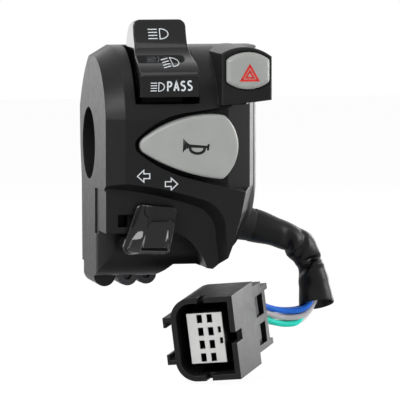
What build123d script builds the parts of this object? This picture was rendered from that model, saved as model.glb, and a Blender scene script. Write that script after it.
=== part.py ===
from build123d import *
import os
from math import cos, pi, radians, sin, tan

os.makedirs("parts", exist_ok=True)

# Handlebar switch cluster: clamp case in two halves, dimmer and pass rocker, hazard button,
# horn button, turn switch with push to cancel, and a short harness with its connector.
# X runs along the handlebar from the outer end of the case. Y points away from the rider,
# so the switches face -Y, and a reach is a distance from the bar's axis towards the rider.
# Z is up. The origin is on the bar's axis, at the middle of the clamped length.
# Lengths are in millimetres and angles in degrees.

# Case
body_width = 50.0
bar_radius = 11.1
cradle_wall = 2.5
wall = 2.4
sill_round = 8.0
sill_end_round = 5.0
top_rise = 30.3
top_flat = 9.0
brow_foot = 9.0
front_reach = 33.3
band_reach = 27.6
sill_reach = 17.0
rear_reach = 19.7
lip_drop = 40.3
form_drop = 43.5
bevel_length = 5.5
bevel_inset = 3.3
parting_step = 6.5
overrun = 6.0

# Outlines of the case as shares: places along the width, reaches and drops
rear_outline_shares = ((0.48, -1.08), (0.75, -0.955), (0.80, -0.30), (0.955, -0.025), (1.0, 0.26))
nape_shares = (0.62, 0.715)
right_edge_shares = ((0.70, -0.923), (0.786, -0.856), (0.86, -0.744), (0.966, -0.496), (1.0, -0.298))
arch_shares = ((0.37, -1.0), (0.425, -0.955), (0.47, -0.908), (0.61, -0.908), (0.64, -0.923))
band_shares = ((0.44, -0.643), (0.556, -0.74), (0.634, -0.916))
facet_shares = ((0.66, -0.923), (0.744, -0.831), (0.77, -0.744), (0.826, -0.496), (0.852, -0.33))
dish_shares = (
    (-0.04, -0.248), (0.28, -0.288), (0.584, -0.385), (0.698, -0.484), (0.728, -0.63), (0.75, -0.835)
)

# Dish below the main face
dish_lean = 2.0

# Recess of the horn button, as places from the outer end and heights
scoop_floor = 26.5
scoop_lean = 1.0
scoop_slope_reach = 21.8
scoop_slope_start = 38.5
scoop_tip = (7.2, 1.0)
scoop_upper = ((18.0, 9.2), (25.0, 11.0), (56.0, 15.2))
scoop_lower = ((56.0, -13.5), (42.6, -13.5), (26.0, -9.2), (15.0, -4.9))
scoop_tip_radius = 3.0

# Hazard block and button
hazard_reach = 37.0
hazard_place = 42.4
hazard_height = 23.7
hazard_block_left = 34.3
hazard_block_base = 13.2
hazard_block_rise = 1.4
hazard_block_top = 30.8
hazard_block_shoulders = (28.9, 27.8)
hazard_block_back = 9.0
hazard_block_round = 0.8
hazard_button_width = 13.2
hazard_button_height = 11.3
hazard_button_crown = 38.6
hazard_travel = 2.5
hazard_seat = 28.0
hazard_base_reaches = (17.0, 26.5)
hazard_base_size = (9.6, 9.0)
hazard_stem_size = (4.2, 3.4)
hazard_stem_end = 23.0
hazard_skirt = 31.5
hazard_shell = 1.5
hazard_coil_radius = 3.4
hazard_coil_wire = 0.7
coil_turns = 3
blade_places = ((39.6, 40.8), (44.0, 45.2))
blade_end = 14.6
blade_height = 3.0
barrel_side_share = 0.6
barrel_corner_share = 0.1
button_gap = 0.3
guide_gap = 0.15

# Dimmer and pass rocker
rocker_place = 18.65
rocker_width = 18.1
rocker_top_width = 16.4
rocker_depth = 29.6
rocker_height = 22.9
rocker_pivot_reach = 16.0
rocker_pivot_height = 26.0
rocker_base_height = 15.8
rocker_back_reach = 7.0
rocker_corner = 2.4
rocker_wall = 1.8
rocker_side_gap = 0.8
rocker_foot_gap = 2.0
rocker_face_shares = ((0.385, 1.0), (0.446, 0.751), (0.595, 0.55), (0.818, 0.445), (1.0, 0.28))
rocker_back_shares = ((0.0, 0.69), (0.15, 0.90), (0.385, 1.0))
rocker_under_shares = (
    (0.96, 0.0), (0.865, 0.0), (0.574, 0.21), (0.422, 0.27), (0.186, 0.27), (0.054, 0.467)
)
rocker_hollow_shares = (
    (0.074, -0.08), (0.074, 0.686), (0.19, 0.856), (0.345, 0.913), (0.389, 0.72), (0.561, 0.467),
    (0.804, 0.358), (0.926, 0.236), (0.902, -0.08)
)
rocker_draft_height = 31.0
rocker_hub_radius = 2.6
rocker_hub_length = 1.5
rocker_mid_hub = 6.3
rocker_finger_width = 2.1
rocker_finger_depth = 1.6
rocker_finger_foot = 17.4
rocker_web_share = 0.591
rocker_web_heights = (25.0, 27.3)
pin_radius = 1.25
running_gap = 0.05

# Dimmer contact base, slider and spring
dimmer_base_reaches = (9.5, 23.5)
dimmer_base_width = 13.0
dimmer_base_top = 17.0
dimmer_ear = 1.8
dimmer_ear_inset = 1.25
dimmer_channel_width = 4.5
dimmer_channel_reaches = (10.5, 22.5)
dimmer_channel_floor = 15.0
dimmer_slider_reaches = (13.0, 19.0)
dimmer_slider_top = 18.6
dimmer_strip = 0.4
dimmer_strip_width = 0.9
slider_gap = 0.1
leaf_thickness = 0.25

# Horn button, base, spring and contact
horn_place = 28.0
horn_height = 0.6
horn_tip = (9.9, 1.0)
horn_upper = ((11.0, 3.4), (18.5, 7.8), (35.6, 10.2))
horn_end = (40.0, 0.6)
horn_lower = ((35.0, -9.2), (20.0, -5.6), (11.3, -1.2))
horn_skirt = 29.4
horn_crown_reaches = (33.2, 36.6, 34.6)
horn_crown_middle = 25.0
horn_rim_round = 1.4
horn_crown_round = 0.9
horn_shell = 1.8
horn_stem_radius = 2.4
horn_stem_end = 17.4
horn_pocket_reach = 32.8
horn_coil_radius = 3.6
horn_coil_wire = 0.7
horn_travel = 2.5
horn_contact_gap = 0.1
horn_contact_thickness = 0.6
horn_hole_radius = 5.0
horn_base_places = (19.5, 36.5)
horn_base_heights = (-8.5, 9.0)
horn_base_reaches = (15.2, 20.0)
horn_post_radius = 1.5
horn_peg_radius = 0.9
horn_foot = 0.4
horn_contact_top = horn_stem_end - horn_travel - horn_contact_gap
horn_contact_reaches = (horn_contact_top - horn_contact_thickness, horn_contact_top)
horn_contact_width = 4.0

# Turn switch: knob, carriage, base, detent and cancel spring
turn_place = 14.1
turn_corners = ((10.9, -18.0), (20.7, -18.9), (18.4, -31.0), (6.5, -30.7))
turn_corner_round = 0.8
turn_flare = 1.5
turn_knob_back = 29.5
turn_knob_hook = 20.5
turn_hook_height = -27.0
turn_knob_reaches = (32.3, 31.4, 36.8)
turn_travel = 3.5
cancel_travel = 1.5
turn_slot_heights = (-24.0, -20.2)
turn_stem_places = (12.5, 15.7)
turn_slot_gap = 0.2
turn_slot_places = (4.2, turn_stem_places[1] + turn_travel + turn_slot_gap)
turn_stem_heights = (-23.2, -20.9)
turn_stem_end = 24.0
turn_pin_radius = 0.65
turn_pin_gap = 0.25
turn_carriage_width = 13.0
turn_carriage_reaches = (19.4, 25.0)
turn_carriage_heights = (-24.0, -16.2)
turn_carriage_ledge = 20.6
turn_base_places = (3.4, 29.0)
turn_base_reaches = (15.0, 19.2)
turn_pin_end = turn_base_reaches[1] + cancel_travel + turn_pin_gap
turn_base_top = -15.0
turn_post_place = 26.6
turn_post_height = -19.5
turn_post_radius = 2.1
turn_strip_places = ((5.0, 9.5), (11.5, 16.5), (18.5, 23.0))
turn_strip_heights = (-19.8, -17.8)
turn_strip = 0.3
turn_ball_place = 18.9
turn_ball_height = -21.8
turn_ball_radius = 1.05
turn_ball_reach = 20.05
turn_groove = 0.4
turn_groove_places = (14.2, 23.6)
turn_ledge = 1.0
turn_ledge_reach = 22.0
turn_ball_coil = (0.75, 0.3)
turn_ball_coil_length = 2.3
cancel_coil = (0.95, 0.3)
wiper = 0.5
wiper_length = 8.0

# Chambers inside the case, as places, reaches and heights
upper_chamber_front = 26.0
horn_chamber = ((12.0, 40.0), (10.0, 24.0), (-16.0, 11.2))
link_chamber = ((29.5, 34.0), (14.0, 24.0), (10.0, 14.0))
turn_chamber = ((2.9, 40.0), (8.0, 25.2), (-24.2, -13.7))
sill_chamber = ((3.5, 36.0), (-6.5, 12.6), (-33.9, -15.8))
lip_chamber = ((3.5, 20.0), (-6.5, 12.6), (-34.8, -30.0))
exit_chamber = ((34.0, 42.0), (-6.5, 8.0), (-31.0, -17.0))
rear_chamber = ((2.9, 42.0), (-12.6, -6.5), (-34.8, -16.2))

# Case screws, their lugs behind the lip and the plain locating lug
screw_radius = 1.95
screw_gap = 0.1
screw_head_radius = 3.2
screw_head_length = 3.6
screw_socket_radius = 1.45
screw_socket_depth = 2.0
lug_radius = 3.3
lug_height = -40.7
lug_top = -37.2
lug_places = (3.8, 11.0, 17.7)
lug_ends = (6.0, 2.0, -2.5)
lug_back = -12.5
lip_recess_front = 7.0
lip_recess_end = 0.9
top_screw_place = 32.0
top_screw_height = 20.5
top_screw_seat = -8.0
top_screw_end = 8.0
base_screw_radius = 1.2
base_screw_head_radius = 2.0
base_screw_head = 1.3
base_screw_length = 5.0
turn_screw_length = 8.0
dimmer_screws = ((14.6, 21.4), (22.7, 11.2))
end_relief_depth = 0.5
end_relief_reach = 11.0
end_relief_heights = (-27.0, -13.0)

# Gland of the harness: a grooved rubber bush held between the two halves
gland_place = 46.0
gland_height = -25.0
gland_dip = 15.0
gland_neck_radius = 4.8
gland_flange_radius = 6.0
gland_flange = 1.6
gland_neck_length = 6.0
gland_boot_reaches = (1.0, 7.0)
gland_boot_radii = (5.9, 5.1)

# Sleeve and wires of the harness, as places from the case's outer end, Y and Z
sleeve_radius = 4.8
sleeve_bore = 3.6
sleeve_bore_depth = 8.5
sleeve_lead = 8.0
sleeve_bends = ((69.5, 8.6, -34.5), (73.9, 10.0, -43.0), (73.9, 10.0, -52.0))
bend_share = 0.45
wire_radius = 0.95
wire_pitch = 2.1
wire_fold_radius = 2.0
gather_share = 1.25
wire_start_height = -43.5
wire_bends = ((73.9, 10.0, -56.2), (62.3, 8.3, -56.6))
wire_names = ("blue", "light_blue", "green", "grey", "white", "turquoise")

# Connector: angles of the way it faces, shroud, insert, seal, terminals and latch frame
plug_centre = (29.3, -36.0, -57.8)
plug_yaw = 28.6
plug_dip = 6.4
plug_roll = 5.2
shroud_size = (20.2, 25.8)
shroud_wall = 1.7
shroud_rounds = (6.5, 2.0)
shroud_depth = 20.0
neck_size = (14.6, 19.0)
neck_end = 35.0
insert_size = (11.2, 15.5)
insert_front = 2.0
insert_end = 30.0
seal_end = 33.0
approach_depths = (46.3, 37.5)
cavity_size = (1.7, 2.6)
cavity_pitch = (3.2, 4.0)
cavity_depth = 12.0
terminal_thickness = 0.8
locator_size = 1.9
locator_places = ((3.9, 2.4), (4.2, -1.0))
rib_depth = 2.6
rib_heights = (4.2, 5.9, 7.3)
rim_slot = (2.0, 4.0)
rim_break = (3.4, 6.0)
latch_thickness = 1.7
latch_height = 19.0
latch_slots = ((1.2, 7.6), (22.5, 30.0))
latch_end = 33.0
prong_length = 3.0
hood_height = 11.2
hood_place = -6.0


def along(distance):
    """Gives the X place of a point this far from the case's outer end."""
    return distance - body_width / 2


def scaled(shares, width, height):
    """Turns shares of a width and a height into places on a sketch seen from the front."""
    return [(along(share_x * width), share_z * height) for share_x, share_z in shares]


def case_section(place, inset):
    """Draws the closed outline of the whole case across the bar, drawn in by the inset."""
    reach = rear_reach - inset
    rear = [(share_y * reach, share_z * lip_drop) for share_y, share_z in rear_outline_shares]
    nape = (nape_shares[0] * reach, nape_shares[1] * (top_rise - inset))
    with BuildSketch(Plane.YZ.offset(place)) as section:
        with BuildLine():
            crown = Line((0, top_rise - inset), (-top_flat, top_rise - inset))
            brow = TangentArc(crown @ 1, (inset - front_reach, brow_foot), tangent=(-1, 0))
            Polyline(brow @ 1, (inset - front_reach, -form_drop), *rear)
            ThreePointArc(rear[-1], nape, crown @ 0)
        make_face()
    return section.sketch


def front_layer(reach, right_shares):
    """Draws the outline of the case's front mass at one reach, seen from the front."""
    band = scaled(band_shares, body_width, lip_drop)
    right = scaled(right_shares, body_width, lip_drop)
    with BuildSketch(Plane.XZ.offset(reach)) as layer:
        with BuildLine():
            floor = Line((along(-overrun), band[0][1]), band[0])
            ThreePointArc(*band)
            Polyline(
                band[-1],
                *right,
                (right[-1][0], top_rise + overrun),
                (along(-overrun), top_rise + overrun),
                floor @ 0,
            )
        make_face()
    return layer.sketch


def dish_layer(reach, shift):
    """Draws the dish under the main face at one reach, its upper edge moved by the shift."""
    edge = [(x + shift, z + shift) for x, z in scaled(dish_shares, body_width, lip_drop)]
    with BuildSketch(Plane.XZ.offset(reach)) as layer:
        with BuildLine():
            first = ThreePointArc(*edge[0:3])
            ThreePointArc(*edge[2:5])
            Polyline(edge[4], edge[5], (edge[5][0], -form_drop), (edge[0][0], -form_drop), first @ 0)
        make_face()
    return layer.sketch


def scoop_layer(reach, spread):
    """Draws the horn button's recess at one reach, its edge moved outwards by the spread."""
    tip = (along(scoop_tip[0] - spread), scoop_tip[1])
    upper = [(along(x), z + spread) for x, z in scoop_upper]
    lower = [(along(x), z - spread) for x, z in scoop_lower]
    with BuildSketch(Plane.XZ.offset(reach)) as layer:
        with BuildLine():
            ThreePointArc(tip, upper[0], upper[1])
            Polyline(*upper[1:], *lower[:3])
            ThreePointArc(*lower[2:], tip)
        make_face()
        fillet(vertices().sort_by(Axis.X)[:1], radius=scoop_tip_radius)
    return layer.sketch


def barrel_face(reach, width, height):
    """Draws the hazard button's outline: straight sides with arched ends above and below."""
    left = along(hazard_place) - width / 2
    right = along(hazard_place) + width / 2
    side = height * barrel_side_share / 2
    with BuildSketch(Plane.XZ.offset(reach)) as face:
        with BuildLine():
            top = ThreePointArc(
                (left, hazard_height + side),
                (along(hazard_place), hazard_height + height / 2),
                (right, hazard_height + side),
            )
            foot = ThreePointArc(
                (right, hazard_height - side),
                (along(hazard_place), hazard_height - height / 2),
                (left, hazard_height - side),
            )
            Line(top @ 1, foot @ 0)
            Line(foot @ 1, top @ 0)
        make_face()
        fillet(face.vertices(), radius=height * barrel_corner_share)
    return face.sketch


def brick(places, reaches, heights, mode=Mode.ADD):
    """Adds a box between two places along the bar, two reaches and two heights."""
    middle = (along(sum(places) / 2), -sum(reaches) / 2, sum(heights) / 2)
    with Locations(middle):
        Box(places[1] - places[0], reaches[1] - reaches[0], heights[1] - heights[0], mode=mode)


def post(place, height, reaches, radius, mode=Mode.ADD):
    """Adds a round bar that runs towards the rider between two reaches."""
    with Locations((along(place), -sum(reaches) / 2, height)):
        Cylinder(radius, reaches[1] - reaches[0], rotation=(90, 0, 0), mode=mode)


def axle(places, reach, height, radius, mode=Mode.ADD):
    """Adds a round bar that runs along the handlebar between two places."""
    with Locations((along(sum(places) / 2), -reach, height)):
        Cylinder(radius, places[1] - places[0], rotation=(0, 90, 0), mode=mode)


def bar_cut(radius, mode=Mode.SUBTRACT):
    """Cuts the space of a bar of this radius through the whole width."""
    axle((-overrun, body_width + overrun), 0, 0, radius, mode=mode)


# Outer forms of the case
with BuildPart() as case_form:
    loft([case_section(along(0), bevel_inset), case_section(along(bevel_length), 0)], ruled=True)
    extrude(case_section(along(bevel_length), 0), amount=body_width - bevel_length)

with BuildPart() as silhouette:
    with BuildSketch(Plane.XZ):
        with BuildLine():
            Polyline(
                (along(0), -lip_drop),
                *scaled(arch_shares, body_width, lip_drop),
                *scaled(right_edge_shares, body_width, lip_drop),
                (along(body_width), top_rise + overrun),
                (along(0), top_rise + overrun),
                close=True,
            )
        make_face()
        low_corners = vertices().group_by(Axis.Y)[0].sort_by(Axis.X)[-1:]
        fillet(low_corners, radius=wall)
    extrude(amount=front_reach + rear_reach, both=True)

with BuildPart() as sill:
    with BuildSketch(Plane.YZ.offset(along(0))):
        with BuildLine():
            Polyline(
                (rear_reach + overrun, -lip_drop),
                (-sill_reach, -lip_drop),
                (-sill_reach, top_rise + overrun),
                (rear_reach + overrun, top_rise + overrun),
                close=True,
            )
        make_face()
        fillet(vertices().group_by(Axis.Y)[0].sort_by(Axis.X)[:1], radius=sill_round)
    extrude(amount=body_width)
    with BuildSketch(Plane.XY.offset(-form_drop)):
        with BuildLine():
            Polyline(
                (along(0), rear_reach + overrun),
                (along(0), -sill_reach),
                (along(body_width), -sill_reach),
                (along(body_width), rear_reach + overrun),
                close=True,
            )
        make_face()
        fillet(vertices().group_by(Axis.Y)[0], radius=sill_end_round)
    extrude(amount=form_drop + top_rise + overrun, mode=Mode.INTERSECT)

with BuildPart() as front_mass:
    loft([front_layer(sill_reach - overrun, right_edge_shares), front_layer(front_reach, facet_shares)], ruled=True)



# Gland of the harness, and the hole for it in both halves
gland_way = (cos(radians(gland_dip)), 0, -sin(radians(gland_dip)))
gland_plane = Plane(
    origin=(along(gland_place), parting_step, gland_height), x_dir=(0, 1, 0), z_dir=gland_way
)

with BuildPart() as gland_hole:
    with BuildSketch(gland_plane.offset(-gland_neck_length - overrun)):
        Circle(gland_neck_radius + running_gap)
    extrude(amount=gland_neck_length + 2 * overrun)

step_height = bar_radius + cradle_wall
inner_front = front_reach - wall
top_zone = top_rise + overrun
low_zone = form_drop + overrun

with BuildPart() as front_zone:
    with BuildSketch(Plane.YZ.offset(along(-overrun))):
        with BuildLine():
            Polyline(
                (0, top_zone),
                (0, -step_height),
                (parting_step, -step_height),
                (parting_step, -low_zone),
                (-hazard_reach - overrun, -low_zone),
                (-hazard_reach - overrun, top_zone),
                close=True,
            )
        make_face()
    extrude(amount=body_width + 2 * overrun)

with BuildPart() as hazard_block:
    with BuildSketch(Plane.XZ.offset(hazard_block_back)):
        with BuildLine():
            arch = ThreePointArc(
                (along(hazard_block_left), hazard_block_shoulders[0]),
                (along(hazard_place), hazard_block_top),
                (along(body_width), hazard_block_shoulders[1]),
            )
            Polyline(
                arch @ 1,
                (along(body_width), hazard_block_base + hazard_block_rise),
                (along(hazard_block_left), hazard_block_base),
                arch @ 0,
            )
        make_face()
    extrude(amount=hazard_reach - hazard_block_back)
    fillet(faces().sort_by(Axis.Y)[0].edges(), radius=hazard_block_round)

with BuildPart() as chambers:
    with BuildSketch(Plane.YZ.offset(along(wall))):
        with BuildLine():
            roof = Line((0, top_rise - wall), (-top_flat, top_rise - wall))
            slope = TangentArc(roof @ 1, (-inner_front, brow_foot), tangent=(-1, 0))
            Polyline(slope @ 1, (0, brow_foot), roof @ 0)
        make_face()
    extrude(amount=body_width - 2 * wall)
    brick((0, body_width), (0, upper_chamber_front), (step_height, top_rise), mode=Mode.INTERSECT)
    for chamber in (horn_chamber, link_chamber, turn_chamber, sill_chamber, lip_chamber, exit_chamber):
        brick(*chamber)
    bar_cut(step_height)

# Front half of the case
with BuildPart() as front_housing:
    add(sill.part)
    add(front_mass.part)
    add(case_form.part, mode=Mode.INTERSECT)
    add(silhouette.part, mode=Mode.INTERSECT)
    dish_depth = front_reach - band_reach
    dish = [dish_layer(band_reach, -dish_lean), dish_layer(front_reach + dish_depth, dish_lean)]
    loft(dish, ruled=True, mode=Mode.SUBTRACT)
    add(hazard_block.part)
    add(front_zone.part, mode=Mode.INTERSECT)
    scoop_depth = front_reach - scoop_floor
    scoop = [scoop_layer(scoop_floor, -scoop_lean), scoop_layer(front_reach + scoop_depth, scoop_lean)]
    loft(scoop, ruled=True, mode=Mode.SUBTRACT)
    with BuildSketch(Plane.XY.offset(scoop_lower[1][1] + scoop_lean)):
        with BuildLine():
            Polyline(
                (along(scoop_slope_start), -scoop_floor),
                (along(body_width), -scoop_slope_reach),
                (along(body_width + overrun), -scoop_slope_reach),
                (along(body_width + overrun), -hazard_reach),
                (along(scoop_slope_start), -hazard_reach),
                close=True,
            )
        make_face()
    extrude(amount=hazard_block_base - scoop_lower[1][1] - scoop_lean, mode=Mode.SUBTRACT)
    add(chambers.part, mode=Mode.SUBTRACT)
    # Opening of the rocker, over the crown and down the brow
    with BuildSketch(Plane.YZ.offset(along(rocker_place - rocker_width / 2 - rocker_side_gap))):
        with BuildLine():
            Polyline(
                (-rocker_back_reach + rocker_foot_gap, top_zone),
                (-rocker_back_reach + rocker_foot_gap, step_height),
                (-hazard_reach - overrun, step_height),
                (-hazard_reach - overrun, top_zone),
                close=True,
            )
        make_face()
    extrude(amount=rocker_width + 2 * rocker_side_gap, mode=Mode.SUBTRACT)
    # Well of the hazard button and the pocket of its base
    well = (hazard_button_width + 2 * button_gap, hazard_button_height + 2 * button_gap)
    extrude(barrel_face(hazard_seat, *well), amount=hazard_reach, mode=Mode.SUBTRACT)
    pocket = (hazard_base_size[0] / 2, hazard_base_size[1] / 2)
    brick(
        (hazard_place - pocket[0], hazard_place + pocket[0]),
        (hazard_block_back, hazard_base_reaches[1]),
        (hazard_height - pocket[1], hazard_height + pocket[1]),
        mode=Mode.SUBTRACT,
    )
    coil_hole_radius = hazard_coil_radius + hazard_coil_wire / 2 + button_gap
    post(hazard_place, hazard_height, (hazard_base_reaches[1], hazard_seat), coil_hole_radius, mode=Mode.SUBTRACT)
    # Holes of the horn spring and of the turn switch's stem
    post(horn_place, horn_height, (horn_chamber[1][1], scoop_floor), horn_hole_radius, mode=Mode.SUBTRACT)
    brick(turn_slot_places, (sill_reach, band_reach), turn_slot_heights, mode=Mode.SUBTRACT)
    # Shallow relief where the band meets the end face
    brick(
        (-overrun, end_relief_depth),
        (end_relief_reach, front_reach),
        end_relief_heights,
        mode=Mode.SUBTRACT,
    )
    # Posts for the bases, and the boss of the upper case screw
    for side in (-1, 1):
        post_height = horn_height + side * (horn_base_heights[1] - 2 * horn_post_radius)
        for place in (horn_base_places[0] + horn_post_radius, horn_base_places[1] - horn_post_radius):
            post(place, post_height, (horn_base_reaches[1], horn_chamber[1][1]), horn_post_radius)
            post(place, post_height, (horn_base_reaches[0], horn_chamber[1][1]), horn_peg_radius)
    post(turn_post_place, turn_post_height, (turn_base_reaches[1], turn_chamber[1][1]), turn_post_radius)
    post(top_screw_place, top_screw_height, (0, top_flat), lug_radius)
    brick(
        (top_screw_place - wall / 2, top_screw_place + wall / 2),
        (0, top_flat),
        (top_screw_height, top_rise - wall / 2),
    )
    # Recess behind the lip, with the lugs in it
    brick(
        (lip_recess_end, arch_shares[0][0] * body_width + wall),
        (-parting_step - overrun, lip_recess_front),
        (-low_zone, lug_top),
        mode=Mode.SUBTRACT,
    )
    for place, end in zip(lug_places, lug_ends):
        post(place, lug_height, (-parting_step, end), lug_radius)
        brick(
            (place - lug_radius, place + lug_radius),
            (-parting_step, end),
            (lug_height, lug_top),
        )
    # Bores
    for place, end in list(zip(lug_places, lug_ends))[1:]:
        post(place, lug_height, (-parting_step, end), screw_radius + screw_gap, mode=Mode.SUBTRACT)
    post(top_screw_place, top_screw_height, (0, top_screw_end), screw_radius + screw_gap, mode=Mode.SUBTRACT)
    post(
        turn_post_place,
        turn_post_height,
        (turn_base_reaches[1], turn_base_reaches[1] + base_screw_length),
        base_screw_radius + guide_gap,
        mode=Mode.SUBTRACT,
    )
    for place, reach in dimmer_screws:
        with Locations((along(place), -reach, step_height - wall / 2)):
            Cylinder(base_screw_radius + guide_gap, wall, mode=Mode.SUBTRACT)
    bar_cut(bar_radius)
    add(gland_hole.part, mode=Mode.SUBTRACT)
front_housing.part.label = "front_housing"

# Rear half of the case
with BuildPart() as rear_housing:
    add(case_form.part)
    add(silhouette.part, mode=Mode.INTERSECT)
    add(front_zone.part, mode=Mode.SUBTRACT)
    brick(
        (-overrun, body_width + overrun),
        (-rear_reach - overrun, -parting_step),
        (-low_zone, lug_top),
        mode=Mode.SUBTRACT,
    )
    fillet(edges().filter_by(Axis.X).group_by(Axis.Z)[0].sort_by(Axis.Y)[-1:], radius=wall)
    brick(*rear_chamber, mode=Mode.SUBTRACT)
    for place in lug_places:
        post(place, lug_height, (lug_back, -parting_step), lug_radius)
        brick((place - lug_radius, place + lug_radius), (lug_back, -parting_step), (lug_height, lug_top))
    for place in lug_places[1:]:
        post(place, lug_height, (lug_back + wall, -parting_step), screw_radius + screw_gap, mode=Mode.SUBTRACT)
    post(top_screw_place, top_screw_height, (-rear_reach, 0), screw_radius + screw_gap, mode=Mode.SUBTRACT)
    post(
        top_screw_place,
        top_screw_height,
        (-rear_reach - overrun, top_screw_seat),
        screw_head_radius + button_gap,
        mode=Mode.SUBTRACT,
    )
    bar_cut(bar_radius)
    add(gland_hole.part, mode=Mode.SUBTRACT)
rear_housing.part.label = "rear_housing"


def case_screw(place, height, head_reach, end_reach, towards):
    """Makes one case screw: a socket head and its shank between two reaches."""
    with BuildPart() as screw:
        post(place, height, sorted((head_reach, end_reach)), screw_radius)
        head_end = head_reach + towards * screw_head_length
        post(place, height, sorted((head_reach, head_end)), screw_head_radius)
        socket = sorted((head_end - towards * screw_socket_depth, head_end + towards * overrun))
        with BuildSketch(Plane.XZ.offset(socket[0])):
            with Locations((along(place), height)):
                RegularPolygon(screw_socket_radius, 6)
        extrude(amount=socket[1] - socket[0], mode=Mode.SUBTRACT)
    return screw.part


lower_end = lug_back + wall + screw_gap
with BuildPart() as case_screws:
    for place, end in list(zip(lug_places, lug_ends))[1:]:
        add(case_screw(place, lug_height, end, lower_end, 1))
    add(case_screw(top_screw_place, top_screw_height, top_screw_seat, top_screw_end - screw_gap, -1))
case_screws.part.label = "case_screws"

# Dimmer and pass rocker, with its pin, base, slider, contact strips and return leaf
rocker_left = rocker_place - rocker_width / 2
rocker_right = rocker_place + rocker_width / 2


def rocker_points(shares):
    """Places shares of the rocker's depth and height on a section across the bar."""
    return [
        (-rocker_back_reach - share_y * rocker_depth, rocker_base_height + share_z * rocker_height)
        for share_y, share_z in shares
    ]


with BuildPart() as dimmer_knob:
    with BuildSketch(Plane.YZ.offset(along(rocker_left))):
        with BuildLine():
            back = rocker_points(rocker_back_shares)
            face = rocker_points(rocker_face_shares)
            under = rocker_points(rocker_under_shares)
            ThreePointArc(*back)
            Spline(*face)
            Polyline(face[-1], *under, back[0])
        make_face()
    extrude(amount=rocker_width)
    with BuildSketch(Plane.XZ):
        with BuildLine():
            half_top = rocker_top_width / 2
            half_foot = rocker_width / 2
            rocker_top = rocker_base_height + rocker_height
            middle = along(rocker_place)
            Polyline(
                (middle - half_foot, rocker_base_height),
                (middle + half_foot, rocker_base_height),
                (middle + half_foot, rocker_pivot_height),
                (middle + half_top, rocker_draft_height),
                (middle + half_top, rocker_top),
                (middle - half_top, rocker_top),
                (middle - half_top, rocker_draft_height),
                (middle - half_foot, rocker_pivot_height),
                close=True,
            )
        make_face()
        fillet(vertices().group_by(Axis.Y)[-1], radius=rocker_corner)
    extrude(amount=hazard_reach + overrun, mode=Mode.INTERSECT)
    with BuildSketch(Plane.YZ.offset(along(rocker_left + rocker_wall))):
        with BuildLine():
            Polyline(*rocker_points(rocker_hollow_shares), close=True)
        make_face()
    extrude(amount=rocker_width - 2 * rocker_wall, mode=Mode.SUBTRACT)
    pivot = (rocker_pivot_reach, rocker_pivot_height)
    inner_left = rocker_left + rocker_wall
    inner_right = rocker_right - rocker_wall
    axle((inner_left, inner_left + rocker_hub_length), *pivot, rocker_hub_radius)
    axle((inner_right - rocker_hub_length, inner_right), *pivot, rocker_hub_radius)
    axle((rocker_place - rocker_mid_hub / 2, rocker_place + rocker_mid_hub / 2), *pivot, rocker_hub_radius)
    finger = (rocker_place - rocker_finger_width / 2, rocker_place + rocker_finger_width / 2)
    web_end = rocker_back_reach + rocker_web_share * rocker_depth
    brick(finger, (rocker_pivot_reach, web_end), rocker_web_heights)
    finger_reaches = (rocker_pivot_reach - rocker_finger_depth / 2, rocker_pivot_reach + rocker_finger_depth / 2)
    brick(finger, finger_reaches, (rocker_finger_foot, rocker_pivot_height))
    axle((rocker_left + rocker_wall / 2, rocker_right - rocker_wall / 2), *pivot, pin_radius + running_gap,
         mode=Mode.SUBTRACT)
dimmer_knob.part.label = "dimmer_knob"

with BuildPart() as dimmer_pin:
    pin_end = rocker_wall / 2 + running_gap
    axle((rocker_left + pin_end, rocker_right - pin_end), *pivot, pin_radius)
dimmer_pin.part.label = "dimmer_pin"

base_left = rocker_place - dimmer_base_width / 2
base_right = rocker_place + dimmer_base_width / 2
with BuildPart() as dimmer_base:
    brick((base_left, base_right), dimmer_base_reaches, (step_height, dimmer_base_top))
    ear_reaches = (rocker_pivot_reach - rocker_hub_radius, rocker_pivot_reach + rocker_hub_radius)
    for ear_left in (base_left + dimmer_ear_inset, base_right - dimmer_ear_inset - dimmer_ear):
        ear = (ear_left, ear_left + dimmer_ear)
        brick(ear, ear_reaches, (dimmer_base_top, rocker_pivot_height))
        axle(ear, *pivot, rocker_hub_radius)
        axle(ear, *pivot, pin_radius + running_gap / 2, mode=Mode.SUBTRACT)
    channel = (rocker_place - dimmer_channel_width / 2, rocker_place + dimmer_channel_width / 2)
    brick(channel, dimmer_channel_reaches, (dimmer_channel_floor, dimmer_base_top), mode=Mode.SUBTRACT)
    strips = [rocker_place + side * (dimmer_channel_width - dimmer_strip_width * 2) / 2 for side in (-1, 1)]
    for strip in strips:
        brick(
            (strip - dimmer_strip_width / 2, strip + dimmer_strip_width / 2),
            dimmer_slider_reaches,
            (dimmer_channel_floor - dimmer_strip, dimmer_channel_floor),
            mode=Mode.SUBTRACT,
        )
    for place, reach in dimmer_screws:
        with Locations((along(place), -reach, (step_height + dimmer_base_top) / 2)):
            Cylinder(base_screw_radius + guide_gap, dimmer_base_top - step_height, mode=Mode.SUBTRACT)
dimmer_base.part.label = "dimmer_base"

with BuildPart() as dimmer_contacts:
    for strip in strips:
        brick(
            (strip - dimmer_strip_width / 2, strip + dimmer_strip_width / 2),
            dimmer_slider_reaches,
            (dimmer_channel_floor - dimmer_strip, dimmer_channel_floor),
        )
dimmer_contacts.part.label = "dimmer_contacts"

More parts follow.
